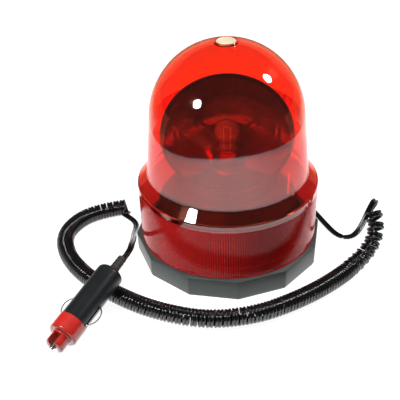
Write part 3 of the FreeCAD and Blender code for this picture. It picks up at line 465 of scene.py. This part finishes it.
def add_tube(mesh: bmesh.types.BMesh, points: Sequence[Vector], radius: float, sides: int = 2) -> None:
    """Adds a round tube with closed ends to a mesh.

    Args:
        mesh: Mesh that grows.
        points: Middle line of the tube.
        radius: Its radius in metres.
        sides: Bevel resolution of the section.
    """
    curve = bpy.data.curves.new("tube", "CURVE")
    curve.bevel_depth = radius
    curve.bevel_resolution = sides
    curve.use_fill_caps = True
    tube = curve_mesh(curve, "POLY", points)
    mesh.from_mesh(tube)
    bpy.data.meshes.remove(tube)


@dataclass
class Dome:
    """Red clear cover with a fluted skirt, and the bare disc on its crown."""

    foot_radius: float = 64.5
    foot_height: float = 16.1
    skirt_radius: float = 65.0
    skirt_height: float = 59.3
    shoulder_height: float = 66.6
    draft: float = 5.0
    crown_radius: float = 54.0
    crown_height: float = 162.0
    wall: float = 2.4
    boss_radius: float = 8.0
    boss_rise: float = 0.9
    disc_radius: float = 6.6
    disc_thickness: float = 0.9
    disc_fit: float = 0.15
    disc_ease: float = 0.2
    disc_rim: float = 0.8
    disc_dip: float = 0.2
    flute_depth: float = 0.1
    flute_foot: float = 19.5
    flute_top: float = 54.5
    flute_run_out: float = 0.8
    row_slack: float = 0.001
    columns_per_flute: int = 3
    wall_rows: tuple[float, ...] = (0.04, 0.35, 0.65, 0.96)
    crown_steps: int = 22
    inner_crown_steps: int = 20
    disc_steps: int = 64
    edge_ease: float = 0.5

    def build(self) -> None:
        """Makes the shell and the disc."""
        lean = math.radians(self.draft)
        centre = self.crown_height - self.crown_radius
        tangent = (self.crown_radius * math.cos(lean), centre + self.crown_radius * math.sin(lean))
        neck = tangent[0] + (tangent[1] - self.shoulder_height) * math.tan(lean)
        across = self.skirt_radius - neck
        rise = self.shoulder_height - self.skirt_height
        slope = math.hypot(across, rise)
        under = self.wall * (slope - rise) / across
        boss_turn = math.degrees(math.acos(self.boss_radius / self.crown_radius))
        top = self.crown_height + self.boss_rise
        seat = self.disc_radius + self.disc_fit
        flute_rows = (self.flute_foot, self.flute_foot + self.flute_run_out,
                      self.flute_top - self.flute_run_out, self.flute_top)
        ease = self.edge_ease
        outline = [(self.foot_radius - ease, self.foot_height), (self.foot_radius, self.foot_height + ease)]
        outline += [(self.skirt_at(height), height) for height in flute_rows]
        outline += [(self.skirt_radius, self.skirt_height - ease),
                    (self.skirt_radius - ease * across / slope, self.skirt_height + ease * rise / slope),
                    (neck + ease * across / slope, self.shoulder_height - ease * rise / slope),
                    (neck - ease * math.sin(lean), self.shoulder_height + ease * math.cos(lean))]
        outline += between(outline[-1], tangent, self.wall_rows)
        outline += arc((0.0, centre), self.crown_radius, self.draft, boss_turn, self.crown_steps)
        outline += [(self.boss_radius, top - ease / 2), (self.boss_radius - ease / 2, top), (seat, top)]
        outline += [(seat, top - self.disc_thickness), (0.0, top - self.disc_thickness)]
        inner_radius = self.crown_radius - self.wall
        outline += arc((0.0, centre), inner_radius, 90.0, self.draft, self.inner_crown_steps)
        inner_neck = (neck - self.wall, self.shoulder_height - under)
        outline += between(outline[-1], inner_neck, self.wall_rows[::-1])
        outline += [inner_neck]
        outline += [(self.skirt_radius - self.wall, self.skirt_height - under)]
        outline += [(self.skirt_at(height) - self.wall, height) for height in flute_rows[::-1]]
        outline += [(self.foot_radius - self.wall, self.foot_height)]
        shell = turned(outline, FLUTES * self.columns_per_flute, closed=True)
        self.flute(shell)
        self.mark_skirt(shell)
        made = piece("dome_shell", shell, (RED_CLEAR, RED_SKIRT), Body.COVER, ("dome",),
                     sharp=12.0)
        # The studio's red lamps stand in for the light that the shell lets through
        made.visible_shadow = False
        self.disc(top)

    def skirt_at(self, height: float) -> float:
        """Outer radius of the skirt at a height."""
        share = (height - self.foot_height) / (self.skirt_height - self.foot_height)
        return self.foot_radius + (self.skirt_radius - self.foot_radius) * share

    def flute(self, shell: bmesh.types.BMesh) -> None:
        """Sinks one column in each flute of the skirt's outer face.

        Args:
            shell: Mesh of the dome.
        """
        step = FULL_TURN / (FLUTES * self.columns_per_flute)
        for vertex in shell.verts:
            height = vertex.co.z / MM
            reach = vertex.co.xy.length / MM
            inside = reach < self.skirt_at(height) - self.wall / 2
            if inside or not self.flute_foot + self.row_slack < height < self.flute_top - self.row_slack:
                continue
            column = round(math.atan2(vertex.co.y, vertex.co.x) / step)
            if column % self.columns_per_flute == 0:
                shrunk = (reach - self.flute_depth) / reach
                vertex.co = (vertex.co.x * shrunk, vertex.co.y * shrunk, vertex.co.z)

    def mark_skirt(self, shell: bmesh.types.BMesh) -> None:
        """Gives the skirt its own finish."""
        for face in shell.faces:
            face.material_index = int(face.calc_center_median().z / MM < self.flute_top)

    def disc(self, top: float) -> None:
        """Makes the bare disc with a slightly raised rim.

        Args:
            top: Height of the boss that the disc is let into.
        """
        radius = self.disc_radius
        foot = top - self.disc_thickness
        ease = self.disc_ease
        dip = top - self.disc_dip
        step = radius - self.disc_rim
        outline = [(0.0, foot), (radius, foot), (radius, top - ease), (radius - ease, top), (step, top),
                   (step - self.disc_dip, dip), (0.0, dip)]
        piece("top_disc_face", turned(outline, self.disc_steps), (BARE_DISC,), Body.COVER,
              ("top_disc",))


@dataclass
class Base:
    """Twelve-sided grey base, hollow below, with the dome's collar and the bosses on its deck."""

    sides: int = 12
    turn: float = 5.7
    flat: float = 65.9
    draft: float = 1.2
    foot: float = 1.2
    top: float = 15.6
    wall: float = 7.9
    deck: float = 3.0
    collar_outer: float = 61.6
    collar_inner: float = 58.6
    collar_top: float = 22.1
    bosses: int = 3
    boss_radius: float = 4.0
    boss_circle: float = 40.0
    boss_top: float = 40.0
    first_boss: float = 30.0
    ease: float = 0.5
    collar_steps: int = 120
    boss_steps: int = 32

    def build(self) -> None:
        """Makes the housing."""
        mesh = self.block()
        self.hollow(mesh)
        edge = self.ease / 2
        ring = [(self.collar_inner, self.top - self.ease), (self.collar_outer, self.top - self.ease),
                (self.collar_outer, self.collar_top - edge), (self.collar_outer - edge, self.collar_top),
                (self.collar_inner + edge, self.collar_top), (self.collar_inner, self.collar_top - edge)]
        add(mesh, turned(ring, self.collar_steps, closed=True))
        for boss in range(self.bosses):
            spot = math.radians(self.first_boss) + FULL_TURN * boss / self.bosses
            post = turned([(0.0, self.top - self.ease), (self.boss_radius, self.top - self.ease),
                           (self.boss_radius, self.boss_top), (0.0, self.boss_top)], self.boss_steps)
            place = Vector((math.cos(spot), math.sin(spot), 0.0)) * self.boss_circle * MM
            bmesh.ops.translate(post, verts=post.verts, vec=place)
            add(mesh, post)
        piece("base_block", mesh, (GREY_PLASTIC,), Body.LIGHT, ("base_housing",),
              sharp=50.0)

    def block(self) -> bmesh.types.BMesh:
        """Twelve-sided block that widens upwards, with eased edges.

        Returns:
            Its mesh.
        """
        mesh = bmesh.new()
        corner = self.flat / math.cos(math.pi / self.sides)
        made = bmesh.ops.create_circle(mesh, cap_ends=True, segments=self.sides, radius=corner * MM)
        bmesh.ops.rotate(mesh, verts=made["verts"], cent=(0, 0, 0),
                         matrix=Matrix.Rotation(math.radians(self.turn - 90.0), 3, "Z"))
        bmesh.ops.translate(mesh, verts=made["verts"], vec=(0, 0, self.foot * MM))
        lid = bmesh.ops.extrude_face_region(mesh, geom=mesh.faces[:])
        raised = [item for item in lid["geom"] if isinstance(item, bmesh.types.BMVert)]
        height = self.top - self.foot
        grown = 1 + height * math.tan(math.radians(self.draft)) / self.flat
        bmesh.ops.translate(mesh, verts=raised, vec=(0, 0, height * MM))
        bmesh.ops.scale(mesh, verts=raised, vec=(grown, grown, 1.0))
        bmesh.ops.recalc_face_normals(mesh, faces=mesh.faces)
        bmesh.ops.bevel(mesh, geom=mesh.edges[:], offset=self.ease * MM, offset_type="OFFSET",
                        affect="EDGES", segments=2, profile=0.5, material=-1)
        return mesh

    def hollow(self, mesh: bmesh.types.BMesh) -> None:
        """Sinks a pocket for the magnet in the block's underside.

        Args:
            mesh: Mesh of the block.
        """
        under = min(mesh.faces, key=lambda face: face.calc_center_median().z)
        bmesh.ops.inset_region(mesh, faces=[under], thickness=self.wall * MM, use_even_offset=True)
        roof = bmesh.ops.extrude_face_region(mesh, geom=[under])
        risen = [item for item in roof["geom"] if isinstance(item, bmesh.types.BMVert)]
        bmesh.ops.translate(mesh, verts=risen, vec=(0, 0, (self.top - self.deck - self.foot) * MM))
        bmesh.ops.delete(mesh, geom=[under], context="FACES_ONLY")
        bmesh.ops.recalc_face_normals(mesh, faces=mesh.faces)


@dataclass
class Reflector:
    """Bright dish round the bulb, with a dark back and a round foot, open round the bulb's socket."""

    focal: float = 16.0
    radius: float = 43.0
    wall: float = 1.2
    lip: float = 1.4
    lip_ease: float = 0.3
    lamp: float = 99.0
    seat: float = 66.0
    notch_radius: float = 11.0
    notch_top: float = 84.5
    foot_radius: float = 29.0
    foot: float = 1.6
    rows: int = 24
    steps: int = 96

    def build(self) -> bpy.types.Object:
        """Makes the dish.

        Returns:
            The dish.
        """
        mesh = self.bowl()
        top = self.seat + self.foot
        foot = [(self.notch_radius, self.seat), (self.foot_radius, self.seat), (self.foot_radius, top),
                (self.notch_radius, top)]
        add(mesh, turned(foot, self.steps, closed=True), index=1)
        return piece("dish", mesh, (MIRROR, BLACK_SATIN), Body.ROTOR, ("reflector",),
                     sharp=40.0)

    def depth(self, reach: float, focal: float) -> float:
        """Where a bowl of that focal length is, along its axis, at a distance from the axis."""
        return focal - reach**2 / (4 * focal)

    def bowl(self) -> bmesh.types.BMesh:
        """Dish that looks along -Y, cut flat on the turntable and open round the socket.

        Returns:
            Its mesh, with the back and the lip as material 1.
        """
        front = self.depth(self.radius, self.focal)
        reaches = [self.radius * row / self.rows for row in range(self.rows + 1)]
        inside = [(reach, self.depth(reach, self.focal)) for reach in reaches]
        rim = self.radius + self.wall + self.lip
        back = [(reach, self.depth(reach, self.focal + self.wall)) for reach in reaches[::-1]]
        edge = [(rim - self.lip_ease, front), (rim, front + self.lip_ease), (rim, front + self.wall),
                (self.radius + self.wall, front + self.wall)]
        mesh = turned(inside + edge + back, self.steps)
        # Faces of the front lie on the inside outline, and those of the back a full wall behind it
        for face in mesh.faces:
            middle = face.calc_center_median()
            reach = middle.xy.length / MM
            if reach > self.radius or middle.z / MM > self.depth(reach, self.focal) + self.wall / 3:
                face.material_index = 1
        upright = Matrix(((1, 0, 0), (0, 0, 1), (0, -1, 0)))
        bmesh.ops.rotate(mesh, verts=mesh.verts, cent=(0, 0, 0), matrix=upright)
        bmesh.ops.translate(mesh, verts=mesh.verts, vec=(0, 0, self.lamp * MM))
        cut = bmesh.ops.bisect_plane(mesh, geom=mesh.verts[:] + mesh.edges[:] + mesh.faces[:],
                                     plane_co=(0, 0, self.seat * MM), plane_no=(0, 0, 1), clear_inner=True)
        rims = [item for item in cut["geom_cut"] if isinstance(item, bmesh.types.BMEdge)]
        bmesh.ops.holes_fill(mesh, edges=rims, sides=0)
        bmesh.ops.recalc_face_normals(mesh, faces=mesh.faces)
        below = self.seat - self.foot
        drill = turned([(0.0, below), (self.notch_radius, below), (self.notch_radius, self.notch_top),
                        (0.0, self.notch_top)], self.steps)
        return carved(mesh, drill)


@dataclass
class Bulb:
    """Round clear glass of the bulb."""

    lamp: float = 96.0
    radius: float = 9.15
    wall: float = 1.0
    neck: float = 5.8
    throat: float = 6.2
    cap_top: float = 84.5
    rows: int = 20
    steps: int = 64

    def build(self) -> bpy.types.Object:
        """Makes the glass shell.

        Returns:
            The glass.
        """
        middle = (0.0, self.lamp)
        inner = self.radius - self.wall
        low = -math.degrees(math.acos(self.throat / self.radius))
        inner_low = -math.degrees(math.acos((self.throat - self.wall) / inner))
        outline = [(self.neck, self.cap_top)]
        outline += arc(middle, self.radius, low, 90.0, self.rows)
        outline += arc(middle, inner, 90.0, inner_low, self.rows)
        outline += [(self.neck - self.wall, self.cap_top)]
        return piece("bulb_globe", turned(outline, self.steps, closed=True), (BULB_GLASS,), Body.BULB,
                     ("bulb_glass",))


@dataclass
class Lead:
    """Flat twin lead: a free run from the base, the curly part, and the free end at the plug."""

    conductor: float = 2.14
    spacing: float = 2.55
    web: float = 0.8
    coil_diameter: float = 12.95
    turn_pitch: float = 5.1
    fan_opening: float = 6.2
    fan_length: float = 84.0
    fan_closing: float = 48.0
    fan_lean: float = 57.0
    fan_turn: float = 54.0
    fan_turn_length: float = 45.0
    points_per_turn: int = 14
    first_angle: float = 115.0
    coil_resolution: int = 24
    line_resolution: int = 3
    blend: int = 8
    length: float = 2.85
    lead_route: Sequence[Spot] = (
        (0.0119, 0.0729, 0.0072), (0.0134, 0.0817, 0.0072), (0.0225, 0.0908, 0.0052),
        (0.034, 0.0912, 0.0026), (0.0455, 0.084, 0.0014), (0.0545, 0.0705, 0.0014),
        (0.0625, 0.0545, 0.0014), (0.07, 0.037, 0.0014), (0.0768, 0.02, 0.0014),
        (0.0815, 0.0095, 0.0014), (0.0875, 0.0032, 0.0014), (0.095, 0.0038, 0.002),
        (0.101, 0.0105, 0.0044), (0.1055, 0.0185, 0.007), (0.1095, 0.0265, 0.01),
    )
    coil_route: Sequence[Point] = (
        (0.1143, 0.0315), (0.1141, 0.012), (0.107, -0.013), (0.092, -0.036),
        (0.07, -0.0585), (0.0455, -0.0765), (0.0175, -0.091), (-0.015, -0.096),
        (-0.0485, -0.0865), (-0.076, -0.0705), (-0.0995, -0.0505), (-0.1175, -0.027),
        (-0.126, 0.0005), (-0.1175, 0.024), (-0.0995, 0.037), (-0.081, 0.0415),
    )
    tail_route: Sequence[Spot] = (
        (-0.085, 0.037, 0.0035), (-0.08, 0.034, 0.002), (-0.0752, 0.0293, 0.0016),
        (-0.072, 0.0215, 0.0028), (-0.0714, 0.0105, 0.0058), (-0.0712, -0.0014, 0.0102),
        (-0.0704, -0.0133, 0.0156), (-0.069, -0.025, 0.021), (-0.0688, -0.0365, 0.026),
        (-0.0683, -0.0469, 0.0285), (-0.0726, -0.0545, 0.0264),
    )
    line: list[Vector] = field(default_factory=list)

    def helix(self) -> tuple[list[Vector], list[Vector]]:
        """Turns of the curly part round its middle line.

        Returns:
            The points of the turns, and the way that the turn faces at each.
        """
        level = self.coil_diameter / 2 * MM
        route = [Vector((*corner, level)) for corner in self.coil_route]
        middle = spline_points(route, self.coil_resolution)
        runs = [(after - before).length for before, after in zip(middle, middle[1:])]
        reach = (self.coil_diameter - self.conductor) / 2 * MM
        reach /= math.cos(math.pi / self.points_per_turn)
        turns = []
        ways = []
        walked = 0.0
        angle = math.radians(self.first_angle)
        place = 0
        run_start = 0.0
        total = sum(runs)
        while walked <= total:
            # The first turns stand further apart, lean over and fan out to one side
            opened = min(max((self.fan_length - walked / MM) / self.fan_closing, 0.0), 1.0)
            pitch = self.turn_pitch + self.fan_opening * opened
            lean = math.radians(self.fan_lean) * math.sqrt(opened)
            fan = math.radians(self.fan_turn) * max(1 - walked / (self.fan_turn_length * MM), 0.0) ** 2
            while place < len(runs) - 1 and walked > run_start + runs[place]:
                run_start += runs[place]
                place += 1
            way = (middle[place + 1] - middle[place]).normalized()
            here = middle[place] + way * (walked - run_start)
            side = way.cross(UP).normalized()
            facing = way * math.cos(lean) - UP * math.sin(lean)
            rise = UP * math.cos(lean) + way * math.sin(lean)
            across = side * math.cos(fan) + facing * math.sin(fan)
            inner = here + side * reach + UP * (self.spacing / 2 * MM * math.sin(lean))
            turns.append(inner + (across * (math.cos(angle) - 1) + rise * math.sin(angle)) * reach)
            ways.append(facing * math.cos(fan) - side * math.sin(fan))
            walked += pitch * MM / self.points_per_turn
            angle += FULL_TURN / self.points_per_turn
        return turns, ways

    def build(self, plug_pieces: Sequence[bpy.types.Object]) -> None:
        """Args:
            plug_pieces: Pieces on the far end of the lead; not used.
        """
        turns, ways = self.helix()
        lead = [Vector(corner) for corner in self.lead_route]
        tail = [Vector(corner) for corner in self.tail_route]
        controls = lead + turns + tail
        self.line = spline_points(controls, self.line_resolution)
        flats = self.flat_ways(ways, len(lead), len(lead) + len(turns), len(controls))
        mesh = bmesh.new()
        for side, diameter in ((-1, self.conductor), (0, self.web), (1, self.conductor)):
            strand = [spot + flat * (side * self.spacing / 2 * MM) for spot, flat in zip(self.line, flats)]
            add_tube(mesh, strand, diameter / 2 * MM)
        made = piece("lead", mesh, (BLACK_LEAD,), Body.LIGHT,
                     ("cord_lead", "cord_coil", "cord_tail"), sharp=60.0)

    def flat_ways(self, ways: Sequence[Vector], first: int, last: int, count: int) -> list[Vector]:
        """Way across the flat lead: level where it lies free, and along the coil in its turns.

        Args:
            ways: Way that the coil's turns face at each of their points.
            first: Number of control points before the coil.
            last: Number of control points up to the coil's end.
            count: Number of all control points.

        Returns:
            One unit vector for each point of the line.
        """
        flats = []
        steps = len(self.line) - 1
        for place in range(steps + 1):
            before = self.line[max(place - 1, 0)]
            after = self.line[min(place + 1, steps)]
            along = (after - before).normalized()
            level = along.cross(UP).normalized()
            control = place / steps * (count - 1)
            inside = min(max(round(control) - first, 0), len(ways) - 1)
            share = min(max(min(control - first, last - control) / self.blend + 0.5, 0.0), 1.0)
            coiled = ways[inside]
            if coiled.dot(level) < 0 and share < 1:
                level = -level
            mixed = level.lerp(coiled, share)
            mixed -= along * mixed.dot(along)
            flats.append(mixed.normalized())
        return flats


@dataclass
class Plug:
    """Lighter plug: black body, red tip, sprung pin, side bows and strain relief."""

    collar_middle: float = 51.2
    fuse_end: float = 33.0
    pin_foot: float = 43.0
    pin_travel: float = 3.2
    spring_radius: float = 2.65
    spring_wire: float = 0.35
    spring_turns: int = 5
    points_per_turn: int = 20

    def place(self, record: dict) -> Matrix:
        """Matrix that puts a piece where the plug lies: its +Z runs from the body's rear to the tip.

        Args:
            record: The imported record.

        Returns:
            The matrix.
        """
        mount = next(item for item in record["mounts"] if item["name"] == "lighter_plug")
        bow = next(item for item in record["behaviour"]["joints"] if item["name"] == "left_bow_press")
        out = Vector(mount["axis"]).normalized()
        side = Vector(bow["axis"]).normalized()
        rear = Vector(mount["pos_m"]) - out * self.collar_middle * MM
        return Matrix.Translation(rear) @ Matrix((side, out.cross(side), out)).transposed().to_4x4()

    def spring(self, record: dict) -> bpy.types.Object:
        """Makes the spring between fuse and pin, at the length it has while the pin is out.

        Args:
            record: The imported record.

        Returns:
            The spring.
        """
        place = self.place(record)
        low = self.fuse_end + self.spring_wire
        high = self.pin_foot - self.spring_wire
        steps = self.spring_turns * self.points_per_turn
        line = []
        for step in range(steps + 1):
            turn = FULL_TURN * step / self.points_per_turn
            ring = (math.cos(turn) * self.spring_radius, math.sin(turn) * self.spring_radius)
            line.append(place @ (Vector((*ring, low + (high - low) * step / steps)) * MM))
        mesh = bmesh.new()
        add_tube(mesh, line, self.spring_wire * MM)
        made = piece("plug_spring", mesh, (STEEL,), Body.LIGHT, ("pin_spring",))
        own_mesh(made)
        return made

    def dress(self, nodes: dict) -> list[bpy.types.Object]:
        """Gives the plug's own solids their finishes.

        Args:
            nodes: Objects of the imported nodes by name.

        Returns:
            The plug's objects.
        """
        wear = {"plug_body": BLACK_SATIN, "plug_tip": RED_PLASTIC, "plug_pin": BRIGHT_METAL,
                "plug_strain_relief": BLACK_RUBBER, "plug_fuse": CLEAR_GLASS,
                "side_contact_left": SPRING_STEEL, "side_contact_right": SPRING_STEEL}
        for name, finish in wear.items():
            dress_node(nodes[name], finish)
        return [nodes[name] for name in wear]


def dress_node(node: bpy.types.Object, finish: Finish) -> None:
    """Puts a finish on a solid that is shown as it is.

    Args:
        node: Object of the solid.
        finish: The finish.
    """
    if not node.material_slots:
        node.data.materials.append(finish.material())
    for held in node.material_slots:
        held.material = finish.material()
    LOG.info("%s: shown as it is, with the finish %s", node.name, finish.name)


@dataclass(frozen=True)
class Lamp:
    """Round soft light, with its place and diameter in metres and its power in watts."""

    name: str
    place: Spot
    width: float
    power: float
    under_dome: bool = False
    mirrored: bool = True


# The two lamps that show in the dome, in metres
LEFT = (-0.215, -0.19, 0.303)
LEFT_WIDTH = 0.065
RIGHT = (0.39, 0.081, 0.458)
RIGHT_WIDTH = 0.1


@dataclass
class Studio:
    """Pale floor, soft light and the camera."""

    focal_pixels: float = 800.0
    image_side: float = 400.0
    sensor: float = 36.0
    camera_back: float = 495.5
    camera_height: float = 359.6
    pitch: float = 32.88
    yaw: float = -2.37
    roll: float = -1.92
    floor_side: float = 6.0
    floor_glow: float = 0.93
    near_glow: float = 3.2
    near_seen: float = 1.6
    near_far_share: float = 0.35
    near_bright: Point = (0.0, -0.27)
    near_fade: Point = (0.12, 0.38)
    near_radius: float = 0.294
    near_sides: int = 96
    near_middle: Point = (0.0075, -0.0505)
    back_glow: float = 1.0
    back_bright: Point = (0.0, 0.25)
    back_fade: Point = (0.08, 0.45)
    back_start: float = 0.14
    seen_glow: float = 1.25
    seen_start: float = 0.03
    card_drop: float = 0.0002
    backdrop_height: float = 1.4
    lit_world: float = 0.15
    mirrored_world: float = 0.12
    aim_height: float = 0.09
    white: Colour = (1.0, 1.0, 1.0)
    red: Colour = (1.0, 0.05, 0.035)
    lamps: tuple[Lamp, ...] = (
        Lamp("lamp_left", LEFT, LEFT_WIDTH, 1.5),
        Lamp("lamp_right", RIGHT, RIGHT_WIDTH, 2.0),
        Lamp("red_left", LEFT, LEFT_WIDTH, 0.7, under_dome=True),
        Lamp("red_right", RIGHT, RIGHT_WIDTH, 0.7, under_dome=True),
        Lamp("red_top", (0.0, -0.05, 0.6), 0.3, 2.0, under_dome=True),
        Lamp("soft_top", (0.0, 0.0, 1.7), 1.6, 16.0, mirrored=False),
    )

    def build(self) -> None:
        """Makes everything round the object, apart from the lamps that shine on it."""
        self.camera()
        self.floor()
        self.cards()
        self.world()
        bpy.context.scene.view_settings.view_transform = "Standard"

    def camera(self) -> None:
        """Puts the camera where the photograph was taken from."""
        pitch, yaw, roll = (math.radians(turn) for turn in (self.pitch, self.yaw, self.roll))
        ahead = Vector((math.sin(yaw) * math.cos(pitch), math.cos(yaw) * math.cos(pitch), -math.sin(pitch)))
        right = Vector((math.cos(yaw), -math.sin(yaw), 0.0))
        up = right.cross(ahead)
        leaned_right = right * math.cos(roll) + up * math.sin(roll)
        leaned_up = up * math.cos(roll) - right * math.sin(roll)
        lens = bpy.data.cameras.new("camera")
        lens.sensor_width = self.sensor
        lens.lens = self.focal_pixels * self.sensor / self.image_side
        thing = linked("camera", lens)
        turn = Matrix((leaned_right, leaned_up, -ahead)).transposed().to_4x4()
        place = Vector((0, -self.camera_back, self.camera_height)) * MM
        thing.matrix_world = Matrix.Translation(place) @ turn
        bpy.context.scene.camera = thing

    def fade(self, card: bpy.types.Object, middle: Point, span: Point, far_share: float) -> None:
        """Makes a card dimmer away from a point.

        Args:
            card: The card.
            middle: The point that it is brightest round, in metres.
            span: Distances from the point where it starts and stops to get dimmer.
            far_share: Share of its brightness that is left outside.
        """
        tree = card.active_material.node_tree
        shader = tree.nodes["Principled BSDF"]
        strength = shader.inputs["Emission Strength"].default_value
        spot = tree.nodes["Texture Coordinate"].outputs["Object"]
        away = new_node(tree, "VectorMath", {0: spot, 1: (*middle, 0.0)}, "DISTANCE")
        dimmed = new_node(tree, "MapRange", {"Value": away.outputs["Value"], "From Min": span[0],
                                             "From Max": span[1], "To Min": strength,
                                             "To Max": strength * far_share})
        feed(tree, shader, {"Emission Strength": dimmed.outputs["Result"]})

    def floor(self) -> None:
        """Pale floor that the camera sees. Reflections and the clear dome show the cards in its place."""
        self.card("floor", self.plane(self.floor_side), self.floor_glow, Shown.STRAIGHT)

    def cards(self) -> None:
        """Bright cards: round ones just under the floor, wide ones behind them, and an upright one."""
        near = self.card("near_card", self.near_disc(), self.near_glow, Shown.MIRRORED)
        self.fade(near, self.near_bright, self.near_fade, self.near_far_share)
        front = self.near_disc()
        bmesh.ops.bisect_plane(front, geom=front.verts[:] + front.edges[:] + front.faces[:],
                               plane_co=(0, self.seen_start, 0), plane_no=(0, 1, 0), clear_outer=True)
        self.card("front_card", front, self.near_seen, Shown.THROUGH)
        back = self.card("back_card", self.half_floor(self.back_start), self.back_glow, Shown.MIRRORED)
        self.fade(back, self.back_bright, self.back_fade, 0.0)
        self.card("seen_card", self.half_floor(self.seen_start), self.seen_glow, Shown.THROUGH)
        wall = self.plane(self.backdrop_height, self.floor_side / 2, self.backdrop_height / 2, lean=90.0)
        self.card("backdrop", wall, self.seen_glow, Shown.THROUGH)

    def plane(self, depth: float, along: float = 0.0, height: float = 0.0,
              lean: float = 0.0) -> bmesh.types.BMesh:
        """Plane as wide as the floor.

        Args:
            depth: Its size along Y while it is level.
            along: Where its middle is along Y.
            height: Height of its middle.
            lean: Degrees by which its back is raised from level.

        Returns:
            The plane's mesh.
        """
        made = bmesh.new()
        bmesh.ops.create_grid(made, x_segments=1, y_segments=1, size=self.floor_side / 2)
        bmesh.ops.scale(made, verts=made.verts, vec=(1.0, depth / self.floor_side, 1.0))
        bmesh.ops.rotate(made, verts=made.verts, cent=(0, 0, 0),
                         matrix=Matrix.Rotation(math.radians(lean), 3, "X"))
        bmesh.ops.translate(made, verts=made.verts, vec=(0, along, height))
        return made

    def near_disc(self) -> bmesh.types.BMesh:
        """Round plane under the object.

        Returns:
            The plane's mesh.
        """
        disc = bmesh.new()
        bmesh.ops.create_circle(disc, cap_ends=True, segments=self.near_sides, radius=self.near_radius)
        bmesh.ops.translate(disc, verts=disc.verts, vec=(*self.near_middle, -self.card_drop))
        return disc

    def half_floor(self, start: float) -> bmesh.types.BMesh:
        """Plane just under the floor, from the line across it at that Y to its back edge."""
        half = self.floor_side / 2
        return self.plane(half - start, (half + start) / 2, -2 * self.card_drop)

    def card(self, name: str, mesh: bmesh.types.BMesh, strength: float, shown: Shown) -> bpy.types.Object:
        """Makes a shining plane of the studio.

        Args:
            name: Its name.
            mesh: Its mesh.
            strength: How bright it is.
            shown: Rays that meet it.

        Returns:
            The plane.
        """
        material = replace(PALE_CARD, name=name).material()
        tree = material.node_tree
        shine = {"Emission Color": (*self.white, 1.0), "Emission Strength": strength}
        feed(tree, tree.nodes["Principled BSDF"], shine)
        data = bpy.data.meshes.new(name)
        mesh.to_mesh(data)
        mesh.free()
        data.materials.append(material)
        thing = linked(name, data)
        for ray in RAYS:
            setattr(thing, f"visible_{ray}", ray in shown.value)
        return thing

    def lights(self, inside: Sequence[bpy.types.Object]) -> None:
        """Two lamps that show in the dome, soft light from above, and the red light under the dome.

        Args:
            inside: Objects under the dome, which get the red light that it lets through.
        """
        under = bpy.data.collections.new("under_dome")
        open_air = bpy.data.collections.new("open_air")
        for thing in bpy.context.scene.objects:
            (under if thing in inside else open_air).objects.link(thing)
        for lamp in self.lamps:
            self.light(lamp, under if lamp.under_dome else open_air)

    def light(self, lamp: Lamp, lit: bpy.types.Collection) -> None:
        """Makes a lamp that looks at the object.

        Args:
            lamp: The lamp.
            lit: Collection of what it shines on.
        """
        data = bpy.data.lights.new(lamp.name, "AREA")
        data.shape = "DISK"
        data.size = lamp.width
        data.energy = lamp.power
        data.color = self.red if lamp.under_dome else self.white
        thing = linked(lamp.name, data)
        thing.location = lamp.place
        aim = Vector((0, 0, self.aim_height)) - Vector(lamp.place)
        thing.rotation_euler = aim.to_track_quat("-Z", "Y").to_euler()
        thing.visible_camera = False
        thing.visible_transmission = False
        thing.visible_glossy = lamp.mirrored
        thing.light_linking.receiver_collection = lit

    def world(self) -> None:
        """Even light for what is lit and seen, and a dark room for what reflects."""
        world = bpy.data.worlds.new("studio")
        world.use_nodes = True
        bpy.context.scene.world = world
        tree = world.node_tree
        white = (*self.white, 1.0)
        pale = tree.nodes["Background"]
        feed(tree, pale, {"Color": white, "Strength": self.lit_world})
        dark = new_node(tree, "Background", {"Color": white, "Strength": self.mirrored_world})
        ray = new_node(tree, "LightPath", {}).outputs
        kinds = {0: ray["Is Glossy Ray"], 1: ray["Is Transmission Ray"]}
        mirrored = new_node(tree, "Math", kinds, "MAXIMUM").outputs["Value"]
        choose = new_node(tree, "MixShader", {"Fac": mirrored, 1: pale.outputs["Background"],
                                              2: dark.outputs["Background"]})
        feed(tree, tree.nodes["World Output"], {"Surface": choose.outputs["Shader"]})


def main() -> None:
    """Builds and dresses every piece."""
    logging.basicConfig(level=logging.INFO, format="%(message)s")
    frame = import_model()
    studio = Studio()
    studio.build()
    for finish, names in CARRIED_OVER.items():
        for name in names:
            dress_node(frame["nodes"][name], finish)
    plug = Plug()
    plug_pieces = plug.dress(frame["nodes"])
    plug_pieces.append(plug.spring(frame["record"]))
    Lead().build(plug_pieces)
    Dome().build()
    Base().build()
    inside = [frame["nodes"][name] for name in UNDER_DOME]
    inside.append(Reflector().build())
    inside.append(Bulb().build())
    studio.lights(inside)


if __name__ == "__main__":
    main()
